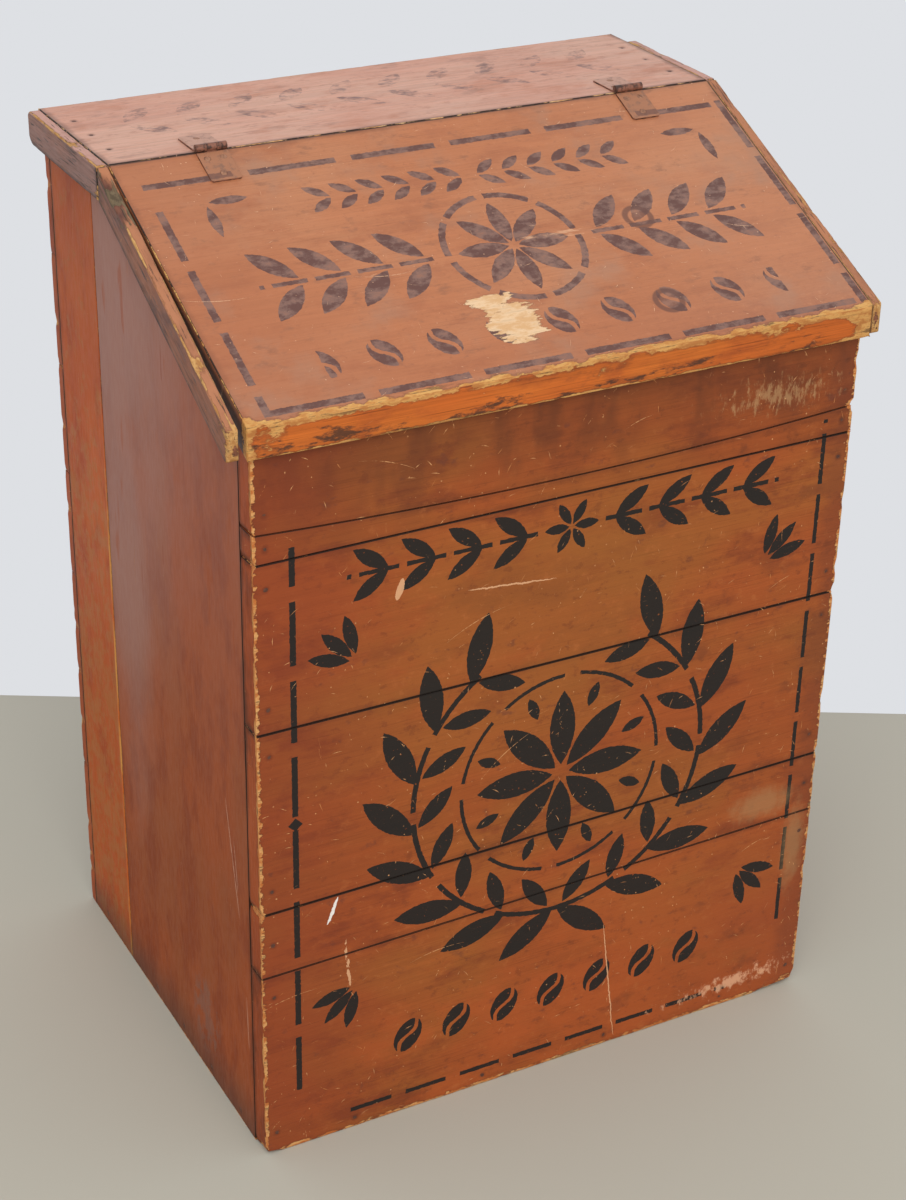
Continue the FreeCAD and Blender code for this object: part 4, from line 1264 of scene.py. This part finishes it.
def lid_paint():
    """Faded orange, darker to the left, with knots showing through and a bare patch."""
    paint = Finish("lid paint", (1, 0, 0), DOWN_SLOPE, RIDGE)
    x, s, depth = paint.ways
    old_paint(paint, ((0.48, 0.172, 0.072), (0.50, 0.200, 0.092), (0.40, 0.135, 0.058)),
              (0.16, 0.06, 0.03), 0.5, 0.35)
    fine = paint.cloud(5.0, 5.0, (1.5, 1, 1), 0.75, (90, 0, 0))
    paint.coat(fine.rise(0.54, 0.70) * 0.45, (0.30, 0.105, 0.050))
    paint.coat(fine.rise(0.42, 0.30) * 0.3, (0.62, 0.28, 0.15))
    paint.coat(s.rise(150.0, 330.0) * 0.2, (0.30, 0.085, 0.040))
    paint.coat(x.rise(-120.0, -260.0) * 0.4, (0.36, 0.115, 0.050))
    paint.coat(x.rise(60.0, 240.0) * 0.25, (0.58, 0.270, 0.150))
    dirty = s.rise(205.0, 300.0) * x.rise(-60.0, 180.0) * (fine + 0.2).rise(0.4, 0.8)
    paint.coat(dirty * 0.45, (0.33, 0.115, 0.060))
    grey = paint.cloud(90.0, 5.0, roughness=0.6, shift=(20, 300, 0))
    paint.coat(grey.rise(0.5, 0.72) * 0.6, (0.38, 0.205, 0.130))
    smudge = paint.cloud(16.0, 5.0, (2, 1, 1), 0.68, (0, 200, 0))
    paint.coat(smudge.rise(0.56, 0.72) * 0.5, (0.22, 0.095, 0.055))
    faded = paint.cloud(12.0, 5.0, (1.5, 1, 1), 0.7)
    dusty = mixed(paint.tree, faded.rise(0.42, 0.58), (0.19, 0.115, 0.098), (0.110, 0.048, 0.040))
    paint.coat(paint.effect("lid stencils") * faded.rise(0.25, 0.55, 0.55, 0.94), dusty)
    for knot in KNOT_RINGS:
        out = reach(x - knot[0], s - knot[1])
        paint.coat(abs(out - KNOT_RADIUS).rise(3.6, 1.6) * 0.75, (0.13, 0.055, 0.04))
        paint.coat(out.rise(9.5, 6.0) * 0.3, (0.42, 0.17, 0.09))
    ragged = paint.cloud(6.0, 5.0, (5, 1, 1), 0.7)
    chalk = spot(x, s, *RUBBED_LINE) + (ragged - 0.52) * 4.0
    paint.coat(chalk.rise(0.3, 0.9) * 0.75, (0.72, 0.40, 0.23))
    # Painted shade in the gaps beside the end strips: the lid's end faces darkened.
    gap_shade = abs(x).over(LID_HIGH[0] - 0.8) * depth.rise(1.5, 7.0)
    paint.coat(gap_shade * 0.85, (0.045, 0.018, 0.012))
    patch = largest(*[spot(x, s, *part) for part in BARE_PATCH])
    yellow = bare_wood(paint, (0.66, 0.36, 0.11), (0.52, 0.22, 0.055))
    white = bare_wood(paint, (0.79, 0.54, 0.32), (0.68, 0.40, 0.19), 0.15)
    wood = mixed(paint.tree, patch.over(-0.5), yellow, white)
    return worn_finish(paint, wood, 0.3, (0.1, 0.35), ragged=1.5,
                       extra=(patch * 3.0 + (ragged - 0.5) * 5.0).rise(0.0, 1.0, 0.0, 1.6),
                       scratches=(0.6, 0.4), scratch=(0.80, 0.47, 0.28))


def nose_paint():
    """The lid's front edge: cleaner paint with black dirt and the barest arrises."""
    paint = Finish("lid nose paint", (1, 0, 0), UP)
    x, z, _ = paint.ways
    old_paint(paint, ((0.53, 0.118, 0.017), (0.57, 0.150, 0.022), (0.36, 0.075, 0.016)), DIRT)
    smears = paint.cloud(12.0, 6.0, (3.5, 1, 1), 0.72)
    low = (690.0 - z).rise(-4.0, 9.0)
    black = (smears + low * 0.12 + x.rise(-60.0, 120.0, 0.0, -0.05)).rise(0.60, 0.70)
    paint.coat(black * 0.85, (0.04, 0.024, 0.018))
    wood = bare_wood(paint, (0.64, 0.33, 0.10), (0.44, 0.17, 0.045))
    corner = (x + smears * 60.0).rise(274.0, 308.0) * 0.9
    return worn_finish(paint, wood, 0.25, extra=corner + 0.04, ragged=1.4)


LEAF_ROW_Y = 140.0


def top_paint():
    """Pinkish dusty paint of the top board, with what is left of a row of leaves."""
    paint = Finish("top paint", (1, 0, 0), (0, 1, 0))
    x, y, _ = paint.ways
    old_paint(paint, ((0.64, 0.315, 0.220), (0.68, 0.375, 0.270), (0.54, 0.220, 0.130)),
              (0.15, 0.07, 0.05), 0.6, 0.5)
    fine = paint.cloud(7.0, 5.0, (2, 1, 1), 0.75, (90, 0, 0))
    paint.coat(fine.rise(0.54, 0.70) * 0.5, (0.40, 0.165, 0.105))
    draw = functools.partial(placed, paint.tree)
    ink = sprays(draw, x, y - LEAF_ROW_Y, -240.0, 240.0, 48.0, 46.0, 17.0, 0.8, 21.0)
    faded = paint.cloud(9.0, 5.0, (1.5, 1, 1), 0.7).rise(0.42, 0.66)
    paint.coat(ink * faded * 0.9, (0.20, 0.105, 0.09))
    smudge = paint.cloud(22.0, 5.0, (2.6, 1, 1), 0.65, (0, 200, 0))
    paint.coat(smudge.rise(0.56, 0.70) * 0.4, (0.26, 0.135, 0.10))
    wood = bare_wood(paint, (0.76, 0.48, 0.24), (0.60, 0.30, 0.12))
    return worn_finish(paint, wood, 0.25, (0.05, 0.35), scratches=(0.5, 0.3),
                       scratch=(0.72, 0.42, 0.28), rough=(0.40, 0.54))


def strip_paint(name, along, up, origin, tones, topside, gouge=(0.0, 0.0)):
    """Dusky paint of the end strips, scraped and split, with topside's colour on their tops.

    tones are the main, warm and deep colour of the other sides, and gouge is the middle and half
    length of the broken place on the left strip.
    """
    paint = Finish(name, along, up, origin)
    s, height, leftward = paint.ways
    old_paint(paint, tones, (0.04, 0.022, 0.018))
    orange = paint.cloud(30.0, 5.0, (2, 1, 1), 0.65).rise(0.35, 0.55)
    paint.coat(height.rise(-2.4, -1.0) * (orange * 0.4 + 0.6), topside)
    splits = paint.cloud(2.2, 4.0, (14, 1, 1), 0.65)
    paint.coat(splits.rise(0.57, 0.64) * 0.8, (0.04, 0.03, 0.028))
    scrapes = paint.cloud(4.5, 5.0, (18, 1, 1), 0.62, (70, 5, 0))
    wood = bare_wood(paint, (0.62, 0.35, 0.13), (0.42, 0.19, 0.06))
    if gouge[1]:
        broken = abs(s - gouge[0]).under(gouge[1]) * leftward.over(0.0)
        grey = bare_wood(paint, (0.20, 0.145, 0.085), (0.10, 0.070, 0.042))
        wood = mixed(paint.tree, broken, wood, grey)
    return worn_finish(paint, wood, 0.15, extra=scrapes.rise(0.58, 0.66) * 0.7)


def back_paint():
    """Thin brownish paint of the back, rubbed through in places."""
    paint = Finish("back paint", (1, 0, 0), UP)
    old_paint(paint, ((0.30, 0.080, 0.034), (0.33, 0.10, 0.045), (0.18, 0.05, 0.024)), DIRT)
    wood = bare_wood(paint, (0.56, 0.32, 0.14), (0.40, 0.18, 0.07))
    rubbed = paint.cloud(120.0, 5.0, (2, 1, 1), 0.65).rise(0.55, 0.8, 0.0, 0.5)
    return worn_finish(paint, wood, 0.25, extra=rubbed, rough=(0.5, 0.65))


def raw_pine(name, along, across):
    """Old unpainted pine of the inside and the undersides."""
    pine = Finish(name, along, across)
    streaks = pine.effect("pine grain", "Streaks")
    bands = pine.effect("pine grain", "Bands")
    wide = pine.cloud(70.0, 6.0, (4, 1, 1), 0.66)
    hairs = pine.cloud(1.1, 2.0, (55, 1, 1))
    rings = pine.cloud(5.0, 4.0, (34, 1, 1), 0.6, (0, 30, 12))
    knots = pine.effect("specks", shift=(0, 33, 9), cell=150.0, radius=8.0, share=0.35)
    pine.colour = mixed(pine.tree, bands * 0.6 + streaks * 0.4, (0.46, 0.27, 0.12),
                        (0.31, 0.160, 0.065))
    pine.coat(wide.rise(0.45, 0.72) * 0.45, (0.17, 0.09, 0.045))
    pine.coat(rings.rise(0.47, 0.58) * 0.5, (0.20, 0.100, 0.042))
    pine.coat(hairs.rise(0.58, 0.68) * 0.5, (0.12, 0.06, 0.03))
    pine.coat(knots * 0.8, (0.13, 0.055, 0.024))
    pine.coat(pine.mark("seam") * 0.5, (0.07, 0.04, 0.025))
    return pine.close(streaks.rise(0.2, 0.8, 0.6, 0.8), streaks * 0.3, 0.25)


BARREL_REACH = 4.6             # from the pin's axis to just past the rolled barrel


def leaf_paint(name, node, across, paint, dusk, stencils):
    """Hinge leaf under the same paint as its board, with a bare dark barrel and edges."""
    low, high = corners(node)
    middle = (low + high) / 2
    face = met(node, (middle[0], middle[1], ABOVE), (0, 0, -1))
    pin = sum(corners("hinge_pin_left")) / 2
    origin = RIDGE if stencils else ORIGIN
    finish = Finish(name, (1, 0, 0), across, origin)
    _, s, depth = finish.ways
    normal = Vector((1, 0, 0)).cross(Vector(across))
    spots = finish.cloud(6.0, 5.0, roughness=0.7)
    finish.colour = mixed(finish.tree, spots.rise(0.50, 0.66) * 0.8, paint, dusk)
    if stencils:
        finish.coat(finish.effect(stencils) * 0.7, (0.135, 0.062, 0.050))
    metal = mixed(finish.tree, spots.rise(0.40, 0.58), (0.06, 0.030, 0.022), (0.26, 0.105, 0.065))
    flat = abs(depth - normal.dot(Vector(face) - Vector(origin))).under(0.3)
    offset = Vector(pin) - Vector(origin)
    barrel = reach(s - offset.dot(Vector(across)), depth - offset.dot(normal)).under(BARREL_REACH)
    finish.coat(largest(barrel, 1.0 - flat), metal)
    return finish.close(spots.rise(0.3, 0.7, 0.45, 0.6) - barrel * 0.12, spots * 0.06, 0.35)


def iron(name, clean, rust, dark, roughness):
    """Small ironwork with rust and what is left of its finish."""
    metal = Finish(name, (1, 0, 0), (0, 1, 0))
    spots = metal.cloud(5.0, 5.0, roughness=0.7)
    fine = metal.cloud(0.9, 3.0)
    metal.colour = mixed(metal.tree, spots.rise(0.42, 0.58), rust, clean)
    metal.coat(fine.rise(0.58, 0.75) * 0.6, dark)
    return metal.close(spots.rise(0.3, 0.7, roughness + 0.12, roughness - 0.1),
                       spots * 0.05 + fine * 0.03, 0.4)


# --- Pieces ---------------------------------------------------------------------------------------
SIDE_TONES = (0.335, 0.072, 0.018), (0.300, 0.074, 0.022), (0.24, 0.045, 0.012)
REAR_SIDE_TONES = (0.46, 0.084, 0.012), (0.51, 0.105, 0.016), (0.36, 0.058, 0.010)
END_TONES = (0.34, 0.066, 0.017), (0.40, 0.084, 0.022), (0.20, 0.040, 0.012)
BACK_END_TONES = (0.40, 0.082, 0.022), (0.44, 0.100, 0.028), (0.28, 0.050, 0.016)
FRONT, LID, NOSE, TOP, BACK = front_paint(), lid_paint(), nose_paint(), top_paint(), back_paint()
SIDE = upright_paint("side paint", SIDE_TONES, 0.85, 0.0, (0.3, 0.3))
REAR_SIDE = upright_paint("rear side paint", REAR_SIDE_TONES, 0.0, 0.85, (1.0, 0.8))
END = end_paint("board end paint", END_TONES, 0.7)
BACK_END = end_paint("back board end paint", BACK_END_TONES, 0.45)
GOUGE = (258.0, 36.0)          # middle from the lid's front edge, and half length
LID_STRIP_TONES = (0.18, 0.078, 0.058), (0.28, 0.105, 0.055), (0.10, 0.048, 0.042)
LID_STRIP = strip_paint("lid strip paint", DOWN_SLOPE, LID_NORMAL, RIDGE, LID_STRIP_TONES,
                        (0.46, 0.190, 0.095), (LID_LENGTH - GOUGE[0], GOUGE[1]))
TOP_STRIP_TONES = (0.29, 0.150, 0.118), (0.36, 0.150, 0.090), (0.17, 0.085, 0.070)
TOP_STRIP = strip_paint("top strip paint", (0, 1, 0), UP, TOP_HIGH, TOP_STRIP_TONES,
                        (0.58, 0.310, 0.245))
PINE = raw_pine("bare pine, level", (1, 0, 0), UP)
UPRIGHT_PINE = raw_pine("bare pine, upright", UP, (0, 1, 0))
SLOPING_PINE = raw_pine("bare pine, sloping", (1, 0, 0), DOWN_SLOPE)
LID_LEAF = leaf_paint("painted lid leaf", "hinge_leaf_moving_left", DOWN_SLOPE,
                      (0.39, 0.165, 0.085), (0.23, 0.12, 0.08), "lid stencils")
TOP_LEAF = leaf_paint("painted top leaf", "hinge_leaf_fixed_left", (0, 1, 0),
                      (0.53, 0.29, 0.21), (0.30, 0.17, 0.13), None)
PIN = iron("hinge pin iron", (0.16, 0.075, 0.05), (0.12, 0.045, 0.03), (0.03, 0.02, 0.016), 0.42)
SCREW = iron("screw iron", (0.38, 0.18, 0.10), (0.26, 0.12, 0.07), (0.05, 0.03, 0.02), 0.45)
NAIL = iron("nail iron", (0.12, 0.044, 0.026), (0.085, 0.030, 0.018), (0.03, 0.016, 0.012), 0.5)

FRONT_JOINTS = {                # groove below, tongue above
    "front_board_1": (False, False),
    "front_split_strip": (True, False),
    "front_board_2": (True, True),
    "front_board_3": (True, True),
    "front_board_4": (True, True),
    "front_board_5": (False, True),
}
for node, (below, above) in FRONT_JOINTS.items():
    dress(front_board(node, below, above, FRONT_NICKS[node]), "case", "front_paint",
          (FRONT, PINE, END), node)
for end, sign in (("left", -1), ("right", 1)):
    for part, tongue_end, paint in (("front", "b1", SIDE), ("back", "b0", REAR_SIDE)):
        node = f"side_board_{end}_{part}"
        dress(side_board(node, sign, tongue_end), "case", "side_paint", (paint, UPRIGHT_PINE), node)
BACK_BOARDS = 8
for number in range(1, BACK_BOARDS + 1):
    node = f"back_board_{number}"
    dress(back_board(node, number == 1, number == BACK_BOARDS), "case", "back_wood",
          (BACK, PINE, BACK_END), node)
dress(top_board(), "case", "top_paint", (TOP, PINE), "top_board")
dress(lid_board(), "lid", "lid_paint", (LID, SLOPING_PINE, NOSE), "lid_board")
LID_STRIP_NICKS = {-1: [("b1",) + GOUGE + (6.0,), ("b1", 70.0, 12.0, 1.5)],
                   1: [("b1", 120.0, 10.0, 1.2)]}
TOP_STRIP_NICKS = {-1: [("b1", 60.0, 14.0, 1.5)], 1: [("b1", 90.0, 12.0, 1.2)]}
for end, sign in (("left", -1), ("right", 1)):
    node = f"lid_end_strip_{end}"
    dress(lid_strip(node, sign, LID_STRIP_NICKS[sign]), "lid", "strip_paint",
          (LID_STRIP, SLOPING_PINE), node)
    node = f"top_end_strip_{end}"
    dress(top_strip(node, sign, TOP_STRIP_NICKS[sign]), "case", "strip_paint",
          (TOP_STRIP, PINE), node)


# --- Nail and screw heads -------------------------------------------------------------------------
def add(tree, kind, values=(), **settings):
    """New node of a geometry tree, with its settings and input values."""
    node = tree.nodes.new(kind)
    for label, value in settings.items():
        setattr(node, label, value)
    for label, value in values:
        feed(tree, node.inputs[label], value)
    return node


def heads_tree(name, sizes, slotted):
    """Geometry nodes that put a low domed head, turned at random, on every point."""
    tree = bpy.data.node_groups.new(name, "GeometryNodeTree")
    tree.interface.new_socket("Places", in_out="INPUT", socket_type="NodeSocketGeometry")
    for label, value in sizes.items():
        tree.interface.new_socket(label, in_out="INPUT", socket_type="NodeSocketFloat")
        tree.interface.items_tree[label].default_value = value
    tree.interface.new_socket("Iron", in_out="INPUT", socket_type="NodeSocketMaterial")
    tree.interface.new_socket("Heads", in_out="OUTPUT", socket_type="NodeSocketGeometry")
    given = tree.nodes.new("NodeGroupInput").outputs
    radius = Field(tree, given["Radius"])
    ball = add(tree, "GeometryNodeMeshUVSphere",
               (("Radius", radius), ("Segments", 14), ("Rings", 8)))
    flat = combine(tree, 1.0, Field(tree, given["Narrow"]), Field(tree, given["Dome"]) / radius)
    head = add(tree, "GeometryNodeTransform", (("Geometry", ball.outputs[0]), ("Scale", flat)))
    if slotted:
        bar = combine(tree, radius * 3.0, Field(tree, given["Slot"]), Field(tree, given["Dome"]))
        block = add(tree, "GeometryNodeMeshCube", (("Size", bar),))
        lift = combine(tree, 0.0, 0.0, Field(tree, given["Dome"]) * 0.85)
        block = add(tree, "GeometryNodeTransform", (("Geometry", block.outputs[0]),
                                                    ("Translation", lift)))
        head = add(tree, "GeometryNodeMeshBoolean", (("Mesh 1", head.outputs[0]),
                                                     ("Mesh 2", block.outputs[0])))
    facing = add(tree, "GeometryNodeInputNamedAttribute", (("Name", "facing"),),
                 data_type="FLOAT_VECTOR")
    aim = add(tree, "FunctionNodeAlignRotationToVector", (("Vector", facing.outputs[0]),), axis="Z")
    turn = add(tree, "FunctionNodeRandomValue", data_type="FLOAT")
    turn.inputs[3].default_value = math.tau
    turn.inputs["Seed"].default_value = 4
    spin = add(tree, "FunctionNodeAxisAngleToRotation", (("Axis", (0, 0, 1)),
                                                         ("Angle", turn.outputs[1])))
    pose = add(tree, "FunctionNodeRotateRotation", (("Rotation", aim.outputs[0]),
                                                    ("Rotate By", spin.outputs[0])),
               rotation_space="LOCAL")
    size = add(tree, "FunctionNodeRandomValue", data_type="FLOAT")
    size.inputs[2].default_value, size.inputs[3].default_value = 0.85, 1.12
    size.inputs["Seed"].default_value = 9
    spread = add(tree, "GeometryNodeInstanceOnPoints", (
        ("Points", given["Places"]), ("Instance", head.outputs[0]),
        ("Rotation", pose.outputs[0]), ("Scale", size.outputs[1])))
    solid = add(tree, "GeometryNodeRealizeInstances", (("Geometry", spread.outputs[0]),))
    smooth = add(tree, "GeometryNodeSetShadeSmooth", (("Geometry", solid.outputs[0]),
                                                      ("Shade Smooth", not slotted)))
    coated = add(tree, "GeometryNodeSetMaterial", (("Geometry", smooth.outputs[0]),
                                                   ("Material", given["Iron"])))
    leaving = tree.nodes.new("NodeGroupOutput")
    tree.links.new(coated.outputs[0], leaving.inputs["Heads"])
    return tree


def fasteners(name, tree, places, material, sink):
    """One plain mesh of all the heads at (middle, way) places, sunk a little in the wood."""
    mesh = bpy.data.meshes.new(name)
    spots = [(np.array(middle) - np.array(way) * sink) * MM for middle, way in places]
    mesh.from_pydata([tuple(s) for s in spots], [], [])
    facing = mesh.attributes.new("facing", "FLOAT_VECTOR", "POINT")
    facing.data.foreach_set("vector", [number for _, way in places for number in way])
    piece = linked(name, mesh)
    modifier = piece.modifiers.new("heads", "NODES")
    modifier.node_group = tree
    modifier[tree.interface.items_tree["Iron"].identifier] = material
    depsgraph = bpy.context.evaluated_depsgraph_get()
    finished = bpy.data.meshes.new_from_object(piece.evaluated_get(depsgraph), depsgraph=depsgraph)
    piece.modifiers.clear()
    piece.data = finished
    return piece


NAIL_SINK, SCREW_SINK = 0.3, 0.35
NAIL_SIZES = {"Radius": 2.7 * MM, "Narrow": 0.8, "Dome": 0.55 * MM}
SCREW_SIZES = {"Radius": 3.15 * MM, "Narrow": 1.0, "Dome": 0.75 * MM, "Slot": 0.9 * MM}
NAIL_HEADS = heads_tree("nail heads", NAIL_SIZES, False)
SCREW_HEADS = heads_tree("slotted screw heads", SCREW_SIZES, True)
NAILS_OF = {"case": [node for node in NAILS if node != "lid_strip_nails"],
            "lid": ["lid_strip_nails"]}
SCREWS_OF = {"case": "hinge_screws_top", "lid": "hinge_screws_lid"}
for body, nodes in NAILS_OF.items():
    places = sum((NAILS[node] for node in nodes), [])
    piece = fasteners("nail_heads_" + body, NAIL_HEADS, places, NAIL, NAIL_SINK)
    dress(piece, body, "nail_iron", (), *nodes)
for body, node in SCREWS_OF.items():
    piece = fasteners("screw_heads_" + body, SCREW_HEADS, SCREWS[node], SCREW, SCREW_SINK)
    dress(piece, body, "screw_iron", (), node)


# --- Nodes of the frame that stay as they are -----------------------------------------------------
KEPT = {
    PINE: ("floor_board_1", "floor_board_2", "floor_board_3"),
    UPRIGHT_PINE: ("top_cleat_left", "top_cleat_right"),
    TOP_LEAF: ("hinge_leaf_fixed_left", "hinge_leaf_fixed_right"),
    LID_LEAF: ("hinge_leaf_moving_left", "hinge_leaf_moving_right"),
    PIN: ("hinge_pin_left", "hinge_pin_right"),
}
for material, nodes in KEPT.items():
    for node in nodes:
        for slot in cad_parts[node].material_slots:
            slot.material = material


# --- Camera, stage and light ----------------------------------------------------------------------
heading, dip, roll = (math.radians(angle) for angle in (CAMERA_HEADING, CAMERA_DIP, CAMERA_ROLL))
forward = Vector((math.sin(heading) * math.cos(dip), math.cos(heading) * math.cos(dip),
                  -math.sin(dip)))
level = Vector((math.cos(heading), -math.sin(heading), 0))
plumb = level.cross(forward)
camera = linked("camera", bpy.data.cameras.new("camera"))
turn = Matrix((level * math.cos(roll) + plumb * math.sin(roll),
               plumb * math.cos(roll) - level * math.sin(roll), -forward)).transposed()
camera.matrix_world = Matrix.Translation(Vector(CAMERA_PLACE) * MM) @ turn.to_4x4()
camera.data.lens = CAMERA_LENS
camera.data.sensor_fit = "VERTICAL"
camera.data.sensor_height = 36.0
bpy.context.scene.camera = camera


def stage_sheet(name, points, colour, glowing):
    """Plain matt sheet, or one that glows to the front and can be looked through from behind."""
    mesh = bpy.data.meshes.new(name)
    mesh.from_pydata([tuple(Vector(p) * MM) for p in points], [], [(0, 1, 2, 3)])
    sheet = linked(name, mesh)
    material = bpy.data.materials.new(name)
    material.use_nodes = True
    tree = material.node_tree
    shader = tree.nodes["Principled BSDF"]
    shader.inputs["Base Color"].default_value = colour + (1.0,)
    shader.inputs["Roughness"].default_value = 0.85
    if glowing:
        glow = tree.nodes.new("ShaderNodeEmission")
        glow.inputs["Color"].default_value = colour + (1.0,)
        mix = tree.nodes.new("ShaderNodeMixShader")
        tree.links.new(tree.nodes.new("ShaderNodeNewGeometry").outputs["Backfacing"], mix.inputs[0])
        tree.links.new(glow.outputs[0], mix.inputs[1])
        tree.links.new(tree.nodes.new("ShaderNodeBsdfTransparent").outputs[0], mix.inputs[2])
        tree.links.new(mix.outputs[0], tree.nodes["Material Output"].inputs["Surface"])
    mesh.materials.append(material)


floor = [(x * FLOOR_REACH, y * FLOOR_REACH, 0) for x, y in ((-1, -1), (1, -1), (1, 1), (-1, 1))]
stage_sheet("floor", floor, (0.50, 0.475, 0.395), False)
away = Vector((math.sin(heading), math.cos(heading), 0))
left_foot, right_foot = (away * WALL_DISTANCE + level * end for end in (-FLOOR_REACH, FLOOR_REACH))
rise = Vector((0, 0, FLOOR_REACH))
stage_sheet("wall", [left_foot, right_foot, right_foot + rise, left_foot + rise],
            (0.73, 0.745, 0.775), True)

world = bpy.data.worlds.new("soft room light")
bpy.context.scene.world = world
world.use_nodes = True
world.node_tree.nodes["Background"].inputs["Color"].default_value = (0.93, 0.96, 1.0, 1.0)
world.node_tree.nodes["Background"].inputs["Strength"].default_value = 0.8


def soft_lamp(name, place, target, size, strength):
    """Square lamp turned to its target, with a slightly warm light."""
    lamp = linked(name, bpy.data.lights.new(name, "AREA"))
    lamp.location = Vector(place) * MM
    way = Vector(target) * MM - lamp.location
    lamp.rotation_euler = way.to_track_quat("-Z", "Y").to_euler()
    lamp.data.size = size * MM
    lamp.data.energy = strength
    lamp.data.color = (1.0, 0.97, 0.93)


soft_lamp("ceiling lamp", (-900, -2200, 2300), (0, 0, 400), 2400, 45)
bpy.context.scene.view_settings.view_transform = "Standard"
